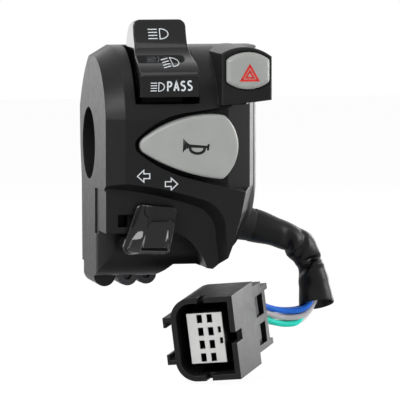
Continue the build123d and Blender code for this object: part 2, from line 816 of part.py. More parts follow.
slider_half = dimmer_channel_width / 2 - slider_gap
slider_foot = dimmer_channel_floor + running_gap
dimmer_wiper_box = (
    (rocker_place - slider_half, rocker_place + slider_half),
    (rocker_pivot_reach - rocker_finger_depth / 2, rocker_pivot_reach + rocker_finger_depth / 2),
    (slider_foot, slider_foot + wiper),
)
with BuildPart() as dimmer_slider:
    brick(
        (rocker_place - slider_half, rocker_place + slider_half),
        dimmer_slider_reaches,
        (dimmer_channel_floor + running_gap, dimmer_slider_top),
    )
    brick(
        (rocker_place - slider_half, rocker_place + slider_half),
        (finger_reaches[0] - 2 * slider_gap, finger_reaches[1] + 2 * slider_gap),
        (rocker_finger_foot - button_gap, dimmer_slider_top),
        mode=Mode.SUBTRACT,
    )
    brick(*dimmer_wiper_box, mode=Mode.SUBTRACT)
dimmer_slider.part.label = "dimmer_slider"

with BuildPart() as dimmer_wiper:
    brick(*dimmer_wiper_box)
dimmer_wiper.part.label = "dimmer_wiper"

with BuildPart() as dimmer_spring:
    with BuildSketch(Plane.XY.offset(dimmer_channel_floor + running_gap)):
        with BuildLine():
            near = -dimmer_slider_reaches[0] + slider_gap
            far = -dimmer_channel_reaches[0] - slider_gap - leaf_thickness
            leaf_half = slider_half - leaf_thickness
            leaf = Polyline(
                (along(rocker_place) - leaf_half, near + leaf_thickness),
                (along(rocker_place) + leaf_half, (near + far) / 2),
                (along(rocker_place) - leaf_half, far),
            )
            offset(leaf, amount=leaf_thickness / 2)
        make_face()
    extrude(amount=dimmer_base_top - dimmer_channel_floor)
dimmer_spring.part.label = "dimmer_spring"


def coil(place, height, reaches, radius, wire):
    """Adds a coil spring of square wire that runs towards the rider between two reaches."""
    length = reaches[1] - reaches[0] - wire
    start = (along(place), -reaches[0] - wire / 2, height)
    with BuildLine() as wire_line:
        Helix(length / coil_turns, length, radius, center=start, direction=(0, -1, 0))
    with BuildSketch(Plane(origin=wire_line.line @ 0, z_dir=wire_line.line % 0)) as section:
        Rectangle(wire, wire)
    sweep(section.sketch, path=wire_line.line, is_frenet=True)


# Hazard button, base, spring and blades
with BuildPart() as hazard_button:
    crown_depth = hazard_button_crown - hazard_skirt
    extrude(barrel_face(hazard_skirt, hazard_button_width, hazard_button_height), amount=crown_depth)
    fillet(faces().sort_by(Axis.Y)[0].edges(), radius=hazard_shell)
    hollow = (hazard_button_width - 2 * hazard_shell, hazard_button_height - 2 * hazard_shell)
    extrude(barrel_face(hazard_skirt, *hollow), amount=crown_depth - hazard_shell, mode=Mode.SUBTRACT)
    brick(
        (hazard_place - hazard_stem_size[0] / 2, hazard_place + hazard_stem_size[0] / 2),
        (hazard_stem_end, hazard_button_crown - hazard_shell / 2),
        (hazard_height - hazard_stem_size[1] / 2, hazard_height + hazard_stem_size[1] / 2),
    )
hazard_button.part.label = "hazard_button"

with BuildPart() as hazard_base:
    base_half = (hazard_base_size[0] / 2, hazard_base_size[1] / 2)
    brick(
        (hazard_place - base_half[0], hazard_place + base_half[0]),
        hazard_base_reaches,
        (hazard_height - base_half[1], hazard_height + base_half[1]),
    )
    guide = (hazard_stem_size[0] / 2 + guide_gap, hazard_stem_size[1] / 2 + guide_gap)
    brick(
        (hazard_place - guide[0], hazard_place + guide[0]),
        (hazard_stem_end - hazard_travel - button_gap, hazard_base_reaches[1]),
        (hazard_height - guide[1], hazard_height + guide[1]),
        mode=Mode.SUBTRACT,
    )
hazard_base.part.label = "hazard_base"

hazard_coil_reaches = (hazard_base_reaches[1], hazard_button_crown - hazard_shell)
with BuildPart() as hazard_spring:
    coil(hazard_place, hazard_height, hazard_coil_reaches, hazard_coil_radius, hazard_coil_wire)
hazard_spring.part.label = "hazard_spring"

with BuildPart() as hazard_contacts:
    for blade in blade_places:
        brick(
            blade,
            (blade_end, hazard_base_reaches[0]),
            (hazard_height - blade_height / 2, hazard_height + blade_height / 2),
        )
hazard_contacts.part.label = "hazard_contacts"

# Horn button, base, spring and contact leaf
with BuildPart() as horn_button:
    with BuildSketch(Plane.XZ.offset(horn_skirt)) as horn_face:
        with BuildLine():
            upper = [(along(x), z) for x, z in horn_upper]
            lower = [(along(x), z) for x, z in horn_lower]
            ThreePointArc(*upper)
            ThreePointArc(upper[-1], (along(horn_end[0]), horn_end[1]), lower[0])
            ThreePointArc(*lower)
            ThreePointArc(lower[-1], (along(horn_tip[0]), horn_tip[1]), upper[0])
        make_face()
        fillet(vertices().group_by(Axis.X)[-1] + vertices().group_by(Axis.X)[-2], radius=horn_rim_round)
    extrude(amount=horn_crown_reaches[1] + overrun - horn_skirt)
    with BuildSketch(Plane.XY.offset(horn_lower[0][1] - overrun)):
        with BuildLine():
            crown = ThreePointArc(
                (along(horn_tip[0] - wall), -horn_crown_reaches[0]),
                (along(horn_crown_middle), -horn_crown_reaches[1]),
                (along(horn_end[0] + wall), -horn_crown_reaches[2]),
            )
            Polyline(crown @ 1, (along(horn_end[0] + wall), 0), (along(horn_tip[0] - wall), 0), crown @ 0)
        make_face()
    extrude(amount=horn_upper[2][1] - horn_lower[0][1] + 2 * overrun, mode=Mode.INTERSECT)
    fillet(faces().sort_by(Axis.Y)[0].edges(), radius=horn_crown_round)
    with BuildSketch(Plane.XZ.offset(horn_skirt)):
        add(horn_face.sketch_local)
        offset(amount=-horn_shell, mode=Mode.REPLACE)
    extrude(amount=horn_pocket_reach - horn_skirt, mode=Mode.SUBTRACT)
    post(horn_place, horn_height, (horn_stem_end, horn_pocket_reach), horn_stem_radius)
horn_button.part.label = "horn_button"

with BuildPart() as horn_base:
    brick(horn_base_places, horn_base_reaches, horn_base_heights)
    for side in (-1, 1):
        peg_height = horn_height + side * (horn_base_heights[1] - 2 * horn_post_radius)
        for place in (horn_base_places[0] + horn_post_radius, horn_base_places[1] - horn_post_radius):
            post(place, peg_height, horn_base_reaches, horn_peg_radius + guide_gap, mode=Mode.SUBTRACT)
        foot_height = horn_height + side * (horn_stem_radius + 2 * horn_foot)
        brick(
            (horn_place - horn_contact_width / 2, horn_place + horn_contact_width / 2),
            (horn_contact_reaches[1], horn_base_reaches[0]),
            sorted((foot_height, foot_height + side * horn_post_radius)),
        )
    post(horn_place, horn_height, horn_base_reaches, horn_stem_radius + guide_gap, mode=Mode.SUBTRACT)
horn_base.part.label = "horn_base"

with BuildPart() as horn_spring:
    coil(horn_place, horn_height, (horn_base_reaches[1], horn_pocket_reach), horn_coil_radius, horn_coil_wire)
horn_spring.part.label = "horn_spring"

with BuildPart() as horn_contact:
    contact_half = horn_stem_radius + 2 * horn_foot + horn_post_radius
    brick(
        (horn_place - horn_contact_width / 2, horn_place + horn_contact_width / 2),
        horn_contact_reaches,
        (horn_height - contact_half, horn_height + contact_half),
    )
horn_contact.part.label = "horn_contact"

# Turn switch knob, carriage, base, contacts, detent and cancel spring
def turn_face(reach, spread):
    """Draws the turn knob's outline at one reach, its edge moved outwards by the spread."""
    with BuildSketch(Plane.XZ.offset(reach)) as face:
        with BuildLine():
            Polyline(*[(along(x), z) for x, z in turn_corners], close=True)
        make_face()
        fillet(face.vertices(), radius=turn_corner_round)
        offset(amount=spread, kind=Kind.ARC, mode=Mode.REPLACE)
    return face.sketch


turn_top = turn_corners[0][1]
turn_foot = turn_corners[2][1]
with BuildPart() as turn_knob:
    extrude(turn_face(turn_knob_hook, turn_flare), amount=turn_knob_back - turn_knob_hook)
    brick(
        (-overrun, body_width),
        (turn_knob_hook - overrun, turn_knob_back),
        (turn_hook_height, turn_top + overrun),
        mode=Mode.SUBTRACT,
    )
    loft([turn_face(turn_knob_back, turn_flare), turn_face(turn_knob_reaches[2], 0)])
    with BuildSketch(Plane.YZ.offset(along(0))):
        with BuildLine():
            hollow = ThreePointArc(
                (-turn_knob_reaches[0], turn_top + turn_flare),
                (-turn_knob_reaches[1], (turn_top + turn_foot) / 2),
                (-turn_knob_reaches[2], turn_foot - turn_flare),
            )
            Polyline(
                hollow @ 1,
                (-turn_knob_reaches[2] - overrun, turn_foot - turn_flare),
                (-turn_knob_reaches[2] - overrun, turn_top + turn_flare),
                hollow @ 0,
            )
        make_face()
    extrude(amount=body_width, mode=Mode.SUBTRACT)
    brick(turn_stem_places, (turn_stem_end, turn_knob_reaches[1] - turn_flare), turn_stem_heights)
    stem_place = sum(turn_stem_places) / 2
    stem_height = sum(turn_stem_heights) / 2
    post(stem_place, stem_height, (turn_pin_end, turn_stem_end), turn_pin_radius)
turn_knob.part.label = "turn_knob"

carriage_places = (turn_place - turn_carriage_width / 2, turn_place + turn_carriage_width / 2)
turn_wiper_box = (
    (turn_place - wiper_length / 2, turn_place + wiper_length / 2),
    (turn_base_reaches[1] + running_gap, turn_carriage_reaches[0] + wiper),
    turn_strip_heights,
)
with BuildPart() as turn_carriage:
    brick(carriage_places, turn_carriage_reaches, turn_carriage_heights)
    brick(
        (turn_stem_places[0] - guide_gap, turn_stem_places[1] + guide_gap),
        (turn_carriage_ledge, turn_carriage_reaches[1]),
        (turn_stem_heights[0] - guide_gap, turn_stem_heights[1] + guide_gap),
        mode=Mode.SUBTRACT,
    )
    post(stem_place, stem_height, turn_carriage_reaches, turn_pin_radius + guide_gap, mode=Mode.SUBTRACT)
    ball_coil_reaches = (
        turn_ball_reach + turn_ball_radius,
        turn_ball_reach + turn_ball_radius + turn_ball_coil_length,
    )
    post(
        turn_ball_place,
        turn_ball_height,
        (turn_carriage_reaches[0], ball_coil_reaches[1]),
        turn_ball_radius + running_gap,
        mode=Mode.SUBTRACT,
    )
    brick(*turn_wiper_box, mode=Mode.SUBTRACT)
turn_carriage.part.label = "turn_carriage"

with BuildPart() as turn_wiper:
    brick(*turn_wiper_box)
turn_wiper.part.label = "turn_wiper"

with BuildPart() as turn_ball:
    with Locations((along(turn_ball_place), -turn_ball_reach, turn_ball_height)):
        Sphere(turn_ball_radius)
turn_ball.part.label = "turn_ball"

with BuildPart() as turn_ball_spring:
    coil(turn_ball_place, turn_ball_height, ball_coil_reaches, *turn_ball_coil)
turn_ball_spring.part.label = "turn_ball_spring"

with BuildPart() as cancel_spring:
    coil(stem_place, stem_height, (turn_carriage_ledge, turn_stem_end), *cancel_coil)
cancel_spring.part.label = "cancel_spring"

turn_strip_reaches = (turn_base_reaches[1] - turn_strip, turn_base_reaches[1])
with BuildPart() as turn_base:
    brick(turn_base_places, turn_base_reaches, (turn_chamber[2][0], turn_base_top))
    brick(
        (turn_base_places[0], turn_post_place - turn_post_radius),
        (turn_base_reaches[1], turn_ledge_reach),
        (turn_base_top - turn_ledge, turn_base_top),
    )
    for strip in turn_strip_places:
        brick(strip, turn_strip_reaches, turn_strip_heights, mode=Mode.SUBTRACT)
    brick(
        turn_groove_places,
        (turn_base_reaches[1] - turn_groove, turn_base_reaches[1]),
        (turn_ball_height - turn_ball_radius, turn_ball_height + turn_ball_radius),
        mode=Mode.SUBTRACT,
    )
    post(
        turn_post_place,
        turn_post_height,
        turn_base_reaches,
        base_screw_radius + guide_gap,
        mode=Mode.SUBTRACT,
    )
turn_base.part.label = "turn_base"

with BuildPart() as turn_contacts:
    for strip in turn_strip_places:
        brick(strip, turn_strip_reaches, turn_strip_heights)
turn_contacts.part.label = "turn_contacts"

with BuildPart() as base_screws:
    for place, reach in dimmer_screws:
        shank_foot = dimmer_base_top - base_screw_length
        with Locations((along(place), -reach, (shank_foot + dimmer_base_top) / 2)):
            Cylinder(base_screw_radius, base_screw_length)
        with Locations((along(place), -reach, dimmer_base_top + base_screw_head / 2)):
            Cylinder(base_screw_head_radius, base_screw_head)
    shank_end = turn_base_reaches[0] + turn_screw_length
    post(turn_post_place, turn_post_height, (turn_base_reaches[0], shank_end), base_screw_radius)
    head = (turn_base_reaches[0] - base_screw_head, turn_base_reaches[0])
    post(turn_post_place, turn_post_height, head, base_screw_head_radius)
base_screws.part.label = "base_screws"

# Gland in the wall of the case
with BuildPart() as harness_gland:
    with BuildSketch(gland_plane.offset(-gland_neck_length - gland_flange)):
        Circle(gland_flange_radius)
    extrude(amount=gland_flange)
    with BuildSketch(gland_plane.offset(-gland_neck_length)):
        Circle(gland_neck_radius)
    extrude(amount=gland_neck_length + gland_boot_reaches[0])
    with BuildSketch(gland_plane.offset(gland_boot_reaches[0])):
        Circle(gland_boot_radii[0])
    with BuildSketch(gland_plane.offset(gland_boot_reaches[1])):
        Circle(gland_boot_radii[1])
    loft()
harness_gland.part.label = "harness_gland"


def bend_radii(route):
    """Gives each inner point of a route the radius that uses the same share of its shorter run."""
    radii = []
    for before, corner, after in zip(route, route[1:], route[2:]):
        arrive = Vector(corner) - Vector(before)
        leave = Vector(after) - Vector(corner)
        half_turn = radians(arrive.get_angle(leave) / 2)
        radii.append(bend_share * min(arrive.length, leave.length) / tan(half_turn))
    return radii


def cord(name, route, radius, fold_radius=None):
    """Makes a round cord along straight runs joined by arcs, and prints its bends and volume."""
    radii = bend_radii(route)
    if fold_radius is not None:
        radii[0] = fold_radius
    with BuildPart() as tube:
        with BuildLine() as line:
            FilletPolyline(*route, radius=radii)
        length = sum(edge.length for edge in line.edges())
        with BuildSketch(Plane(origin=line.line @ 0, z_dir=line.line % 0)):
            Circle(radius)
        sweep(path=line.line)
    share = tube.part.volume / (pi * radius**2 * length)
    print(name, "radii", [round(r, 1) for r in radii], "length", round(length, 1),
          "volume share", round(share, 4))
    return tube.part


boot_end = gland_plane.offset(gland_boot_reaches[1]).origin
lead_end = gland_plane.offset(gland_boot_reaches[1] + sleeve_lead).origin
sleeve_route = [tuple(boot_end), tuple(lead_end)] + [(along(x), y, z) for x, y, z in sleeve_bends]
sleeve_end = sleeve_route[-1]
with BuildPart() as harness_sleeve:
    add(cord("harness_sleeve", sleeve_route, sleeve_radius))
    with Locations((sleeve_end[0], sleeve_end[1], sleeve_end[2] + sleeve_bore_depth / 2)):
        Cylinder(sleeve_bore, sleeve_bore_depth, mode=Mode.SUBTRACT)
harness_sleeve.part.label = "harness_sleeve"

# Connector, drawn on its mating face: X to the right, Y up, Z the way it faces
plug_turn = Rot(0, 0, -plug_yaw) * Rot(plug_dip, 0, 0) * Rot(0, -plug_roll, 0) * Rot(90, 0, 0)
plug_origin = (along(plug_centre[0]), plug_centre[1], plug_centre[2])
plug_plane = Plane(Pos(*plug_origin) * plug_turn)


def plug_box(across, up, depths, mode=Mode.ADD):
    """Adds a box on the connector between two places across, two up and two depths."""
    middle = (sum(across) / 2, sum(up) / 2, -sum(depths) / 2)
    with Locations(plug_plane):
        with Locations(middle):
            Box(across[1] - across[0], up[1] - up[0], depths[1] - depths[0], mode=mode)


def plug_rod(place, up, depths, radius, mode=Mode.ADD):
    """Adds a round bar along the connector between two depths."""
    with Locations(plug_plane):
        with Locations((place, up, -sum(depths) / 2)):
            Cylinder(radius, depths[1] - depths[0], mode=mode)


def middle_span(size):
    """Gives the two ends of a span of this size about the middle."""
    return (-size / 2, size / 2)


def bell_section(depth, inset):
    """Draws the shroud's outline at one depth: large rounds on its left, small on its right."""
    with BuildSketch(plug_plane.offset(-depth)) as section:
        Rectangle(shroud_size[0] - 2 * inset, shroud_size[1] - 2 * inset)
        left = vertices().group_by(Axis.X)[0]
        right = vertices().group_by(Axis.X)[-1]
        fillet(left, radius=shroud_rounds[0] - inset)
        fillet(right, radius=shroud_rounds[1] - inset)
    return section.sketch


half_bell = shroud_size[0] / 2
bell_end = shroud_depth + shroud_wall
with BuildPart() as connector_shroud:
    extrude(bell_section(bell_end, 0), amount=bell_end)
    plug_box(middle_span(neck_size[0]), middle_span(neck_size[1]), (bell_end, neck_end))
    plug_box((half_bell - latch_thickness, half_bell), middle_span(latch_height), (bell_end, latch_end))
    plug_box((neck_size[0] / 2, half_bell), middle_span(latch_thickness), (bell_end, latch_slots[1][0]))
    plug_box((hood_place, half_bell), (latch_height / 2, hood_height), (bell_end, insert_end))
    plug_box(
        (-half_bell - rib_depth, -half_bell + shroud_wall), middle_span(2 * rib_heights[2]), (0, shroud_depth)
    )
    for side in (-1, 1):
        prong = sorted((side * (latch_height / 2 - latch_thickness), side * latch_height / 2))
        plug_box((half_bell - latch_thickness, half_bell), prong, (latch_end, latch_end + prong_length))
        slot = sorted((side * latch_slots[0][0], side * latch_slots[0][1]))
        plug_box((half_bell - latch_thickness, half_bell), slot, latch_slots[1], mode=Mode.SUBTRACT)
        rim = sorted((side * (shroud_size[1] / 2 - shroud_wall), side * shroud_size[1] / 2))
        plug_box(middle_span(rim_slot[0]), rim, (0, rim_slot[1]), mode=Mode.SUBTRACT)
    rib_skin = (-half_bell - rib_depth, -half_bell - rib_depth + shroud_wall / 2)
    plug_box(
        (rib_skin[1], -half_bell), middle_span(2 * rib_heights[1]), (0, shroud_depth), mode=Mode.SUBTRACT
    )
    plug_box(rib_skin, middle_span(2 * rib_heights[0]), (0, shroud_depth), mode=Mode.SUBTRACT)
    extrude(bell_section(shroud_depth, shroud_wall), amount=shroud_depth, mode=Mode.SUBTRACT)
    plug_box((0, half_bell), middle_span(rim_break[0]), (0, rim_break[1]), mode=Mode.SUBTRACT)
    insert_spans = (middle_span(insert_size[0]), middle_span(insert_size[1]))
    plug_box(*insert_spans, (shroud_depth, neck_end), mode=Mode.SUBTRACT)
connector_shroud.part.label = "connector_shroud"

cavities = [(x * cavity_pitch[0] / 2, y * cavity_pitch[1]) for y in (1.5, 0.5, -0.5, -1.5) for x in (-1, 1)]
with BuildPart() as connector_insert:
    plug_box(*insert_spans, (insert_front, insert_end))
    for x, y in cavities:
        across = (x - cavity_size[0] / 2, x + cavity_size[0] / 2)
        upright = (y - cavity_size[1] / 2, y + cavity_size[1] / 2)
        plug_box(across, upright, (insert_front, insert_end), mode=Mode.SUBTRACT)
    for x, y in locator_places:
        hole = ((x, x + locator_size / 2), (y - locator_size / 2, y + locator_size / 2))
        plug_box(*hole, (insert_front, cavity_depth), mode=Mode.SUBTRACT)
connector_insert.part.label = "connector_insert"

with BuildPart() as connector_terminals:
    for x, y in cavities[: len(wire_names)]:
        plug_box(
            (x - cavity_size[0] / 2, x + cavity_size[0] / 2),
            (y - terminal_thickness / 2, y + terminal_thickness / 2),
            (cavity_depth, insert_end),
        )
connector_terminals.part.label = "connector_terminals"

with BuildPart() as connector_seal:
    plug_box(*insert_spans, (insert_end, seal_end))
    for x, y in cavities[: len(wire_names)]:
        plug_rod(x, y, (insert_end, seal_end), wire_radius + running_gap, mode=Mode.SUBTRACT)
connector_seal.part.label = "connector_seal"

# Wires: two by three in the sleeve, a pair to each row of the connector
wires = []
for index, (x, y) in enumerate(cavities[: len(wire_names)]):
    spread = (index // 2 - 1) * wire_pitch
    beside = -(x / cavity_pitch[0]) * wire_pitch
    route = [(sleeve_end[0] + spread, sleeve_end[1] + beside, wire_start_height)]
    for place, reach, height in wire_bends:
        shift = spread if place == wire_bends[0][0] else 0
        route.append((along(place) + shift, reach + beside, height - spread))
    gathered = (-gather_share * beside, -spread, -approach_depths[0])
    entry = (gathered, (x, y, -approach_depths[1]), (x, y, -insert_end))
    route += [tuple(plug_plane.from_local_coords(point)) for point in entry]
    wire = cord(f"wire_{wire_names[index]}", route, wire_radius, wire_fold_radius)
    wire.label = f"wire_{wire_names[index]}"
    wires.append(wire)

pieces = (
    front_housing, rear_housing, case_screws,
    dimmer_knob, dimmer_pin, dimmer_base, dimmer_contacts, dimmer_slider, dimmer_wiper, dimmer_spring,
    hazard_button, hazard_base, hazard_spring, hazard_contacts,
    horn_button, horn_base, horn_spring, horn_contact,
    turn_knob, turn_carriage, turn_wiper, turn_ball, turn_ball_spring, cancel_spring, turn_base,
    turn_contacts, base_screws,
    harness_gland, harness_sleeve,
    connector_shroud, connector_insert, connector_terminals, connector_seal,
)
for part in [piece.part for piece in pieces] + wires:
    export_step(part, f"parts/{part.label}.step")
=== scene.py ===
import logging
import math
from dataclasses import dataclass, field
from enum import Enum
from typing import Any, Iterable, Sequence, Union

import bmesh
import bpy
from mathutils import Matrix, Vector
from mathutils.bvhtree import BVHTree


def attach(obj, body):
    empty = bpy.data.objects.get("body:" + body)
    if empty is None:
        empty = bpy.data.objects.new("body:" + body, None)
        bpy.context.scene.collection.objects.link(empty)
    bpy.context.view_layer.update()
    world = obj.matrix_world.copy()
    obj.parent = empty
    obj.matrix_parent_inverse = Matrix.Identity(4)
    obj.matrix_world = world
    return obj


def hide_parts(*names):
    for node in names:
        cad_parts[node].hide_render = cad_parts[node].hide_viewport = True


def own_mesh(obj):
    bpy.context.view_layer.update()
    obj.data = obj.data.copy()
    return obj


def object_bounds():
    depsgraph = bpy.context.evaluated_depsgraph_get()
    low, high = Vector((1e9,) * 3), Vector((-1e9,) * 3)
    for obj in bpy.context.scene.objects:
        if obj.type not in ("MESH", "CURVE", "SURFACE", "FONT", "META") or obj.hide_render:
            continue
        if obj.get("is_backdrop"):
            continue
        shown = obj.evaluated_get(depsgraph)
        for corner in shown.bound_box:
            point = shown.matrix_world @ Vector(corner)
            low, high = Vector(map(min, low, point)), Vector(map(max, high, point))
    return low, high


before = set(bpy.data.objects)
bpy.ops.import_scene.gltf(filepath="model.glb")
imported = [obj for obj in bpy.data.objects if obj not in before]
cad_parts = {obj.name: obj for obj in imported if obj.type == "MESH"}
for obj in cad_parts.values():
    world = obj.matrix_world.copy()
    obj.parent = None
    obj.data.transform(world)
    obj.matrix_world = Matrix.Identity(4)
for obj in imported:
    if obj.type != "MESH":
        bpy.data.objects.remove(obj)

log = logging.getLogger("switch_cluster")

# A millimetre in metres, and the X place of the case's outer end in millimetres
MM = 0.001
OUTER_END = -25.0

WHITE = (1.0, 1.0, 1.0)
Number = Union[int, float]
Point = tuple[float, float, float]
Flat = tuple[float, float]
Colour = tuple[float, float, float]

# The connector's axis, out of its open end, and how far along it the white insert's face lies in
# millimetres
PLUG_AXIS: Point = (-0.4757, -0.8725, -0.1115)
INSERT_FACE = 33.81


def in_metres(point: Sequence[float]) -> Vector:
    """Turns a place in millimetres into one in metres."""
    return Vector(point) * MM


def along(distance: float) -> float:
    """Gives the X place, in millimetres, of a point this far from the case's outer end."""
    return distance + OUTER_END


def stand(name: str, data: bpy.types.ID) -> bpy.types.Object:
    """Puts a mesh, curve, lamp or camera into the scene.

    Args:
        name: the object's name.
        data: what the object shows.

    Returns:
        The object, linked to the scene.
    """
    thing = bpy.data.objects.new(name, data)
    bpy.context.scene.collection.objects.link(thing)
    return thing


def smooth(mesh: bpy.types.Mesh) -> None:
    """Shades every face of a mesh smooth."""
    for face in mesh.polygons:
        face.use_smooth = True


# Shader maths


class Signal:
    """A shader socket that works in sums like a number and adds its Math nodes itself."""

    def __init__(self, weave: "Weave", socket: bpy.types.NodeSocket) -> None:
        """Keeps the socket and the node builder that it belongs to.

        Args:
            weave: the node builder.
            socket: the output socket that carries the value.
        """
        self.weave = weave
        self.socket = socket

    def _with(self, operation: str, *others: "Term", turned: bool = False) -> "Signal":
        """Adds a Math node on this value and others.

        Args:
            operation: the Math node's operation.
            others: the further values.
            turned: True where this value comes second.

        Returns:
            The result.
        """
        terms = [self, *others]
        if turned:
            terms.reverse()
        return self.weave.add("ShaderNodeMath", {"operation": operation}, dict(enumerate(terms)))

    def __add__(self, other: "Term") -> "Signal":
        """Adds."""
        return self._with("ADD", other)

    __radd__ = __add__

    def __sub__(self, other: "Term") -> "Signal":
        """Subtracts."""
        return self._with("SUBTRACT", other)

    def __rsub__(self, other: "Term") -> "Signal":
        """Subtracts this from the other."""
        return self._with("SUBTRACT", other, turned=True)

    def __mul__(self, other: "Term") -> "Signal":
        """Multiplies."""
        return self._with("MULTIPLY", other)

    __rmul__ = __mul__

    def smaller(self, other: "Term") -> "Signal":
        """Gives the smaller of two values."""
        return self._with("MINIMUM", other)

    def rise(self, low: Number, high: Number, to_low: Number = 0.0, to_high: Number = 1.0) -> "Signal":
        """Maps a stretch of this value smoothly onto another stretch.

        Args:
            low: where the stretch begins.
            high: where it ends.
            to_low: the result at the beginning.
            to_high: the result at the end.

        Returns:
            The mapped value, held at its ends outside the stretch.
        """
        stretch = {"Value": self, "From Min": low, "From Max": high, "To Min": to_low, "To Max": to_high}
        return self.weave.add("ShaderNodeMapRange", {"interpolation_type": "SMOOTHSTEP"}, stretch)


Term = Union[Signal, Number]


class Weave:
    """Builds the nodes of one material, or of the world."""

    def __init__(self, name: str, world: bool = False) -> None:
        """Starts an empty material or world with its output.

        Args:
            name: its name.
            world: True for a world.
        """
        self.owner = (bpy.data.worlds if world else bpy.data.materials).new(name)
        self.owner.use_nodes = True
        self.tree = self.owner.node_tree
        self.tree.nodes.clear()
        self.out = self.tree.nodes.new("ShaderNodeOutputWorld" if world else "ShaderNodeOutputMaterial")

    def add(
        self,
        kind: str,
        settings: dict[str, Any] | None = None,
        values: dict[str | int, Any] | None = None,
        output: str | int = 0,
    ) -> Signal:
        """Adds one node, sets it up and feeds it.

        Args:
            kind: the node's type.
            settings: its own settings, which are set first.
            values: a value or a signal for each socket, by name or number.
            output: the output that is handed back.

        Returns:
            The chosen output.
        """
        node = self.tree.nodes.new(kind)
        for key, value in (settings or {}).items():
            setattr(node, key, value)
        for key, value in (values or {}).items():
            socket = node.inputs[key]
            if isinstance(value, Signal):
                self.tree.links.new(value.socket, socket)
            elif isinstance(value, tuple) and len(value) == 3 and socket.type == "RGBA":
                socket.default_value = (*value, 1.0)
            else:
                socket.default_value = value
        return Signal(self, node.outputs[output])

    def end(self, surface: Signal) -> bpy.types.Material | bpy.types.World:
        """Links the surface to the output and hands back the material or world."""
        self.tree.links.new(surface.socket, self.out.inputs["Surface"])
        return self.owner

    def place(self) -> Signal:
        """Gives the place on the piece, in metres in the shared frame."""
        return self.add("ShaderNodeTexCoord", output="Object")

    def noise(
        self,
        size_mm: float,
        detail: float = 3.0,
        rough: float = 0.55,
        stretch: Point = (1, 1, 1),
    ) -> Signal:
        """Adds noise of a given size.

        Args:
            size_mm: the size of its patches in millimetres.
            detail: how many finer layers it has.
            rough: how strong the finer layers are.
            stretch: how much finer it runs along each axis.

        Returns:
            The noise, about 0.5 on average.
        """
        spot = self.add("ShaderNodeMapping", {}, {"Vector": self.place(), "Scale": stretch})
        values = {"Vector": spot, "Scale": 1.0 / (size_mm * MM), "Detail": detail, "Roughness": rough}
        return self.add("ShaderNodeTexNoise", {}, values)

    def cells(self, size_mm: float) -> Signal:
        """Adds rounded cells of a given size, by their distance from the middle."""
        values = {"Vector": self.place(), "Scale": 1.0 / (size_mm * MM)}
        return self.add("ShaderNodeTexVoronoi", {"feature": "F1"}, values, output="Distance")

    def mix(self, share: Term, first: Any, second: Any) -> Signal:
        """Mixes two colours.

        Args:
            share: how much of the second there is, from 0 to 1.
            first: the colour at 0.
            second: the colour at 1.

        Returns:
            The mixed colour.
        """
        return self.add("ShaderNodeMix", {"data_type": "RGBA"}, {0: share, 6: first, 7: second}, output=2)

    def bump(self, height: Signal, depth_mm: float, normal: Signal) -> Signal:
        """Adds a relief of this depth to a normal, from a height between 0 and 1."""
        values = {"Strength": 1.0, "Distance": depth_mm * MM, "Height": height, "Normal": normal}
        return self.add("ShaderNodeBump", {}, values)

    def relief(self, height: Signal, depth_mm: float, soft_edge_mm: float = 0.35) -> Signal:
        """Gives a relief of this depth over edges that look rounded."""
        rounded = self.add("ShaderNodeBevel", {"samples": 6}, {"Radius": soft_edge_mm * MM})
        return self.bump(height, depth_mm, rounded)

    def shade(self, **values: Any) -> bpy.types.Material:
        """Adds the surface shader.

        Args:
            values: its sockets, with underscores for the spaces in their names.

        Returns:
            The finished material.
        """
        named = {key.replace("_", " "): value for key, value in values.items()}
        return self.end(self.add("ShaderNodeBsdfPrincipled", {}, named))


# Finishes


def tint(colour: Colour, factor: float) -> Colour:
    """Makes a colour lighter or darker by a factor."""
    return tuple(min(1.0, part * factor) for part in colour)


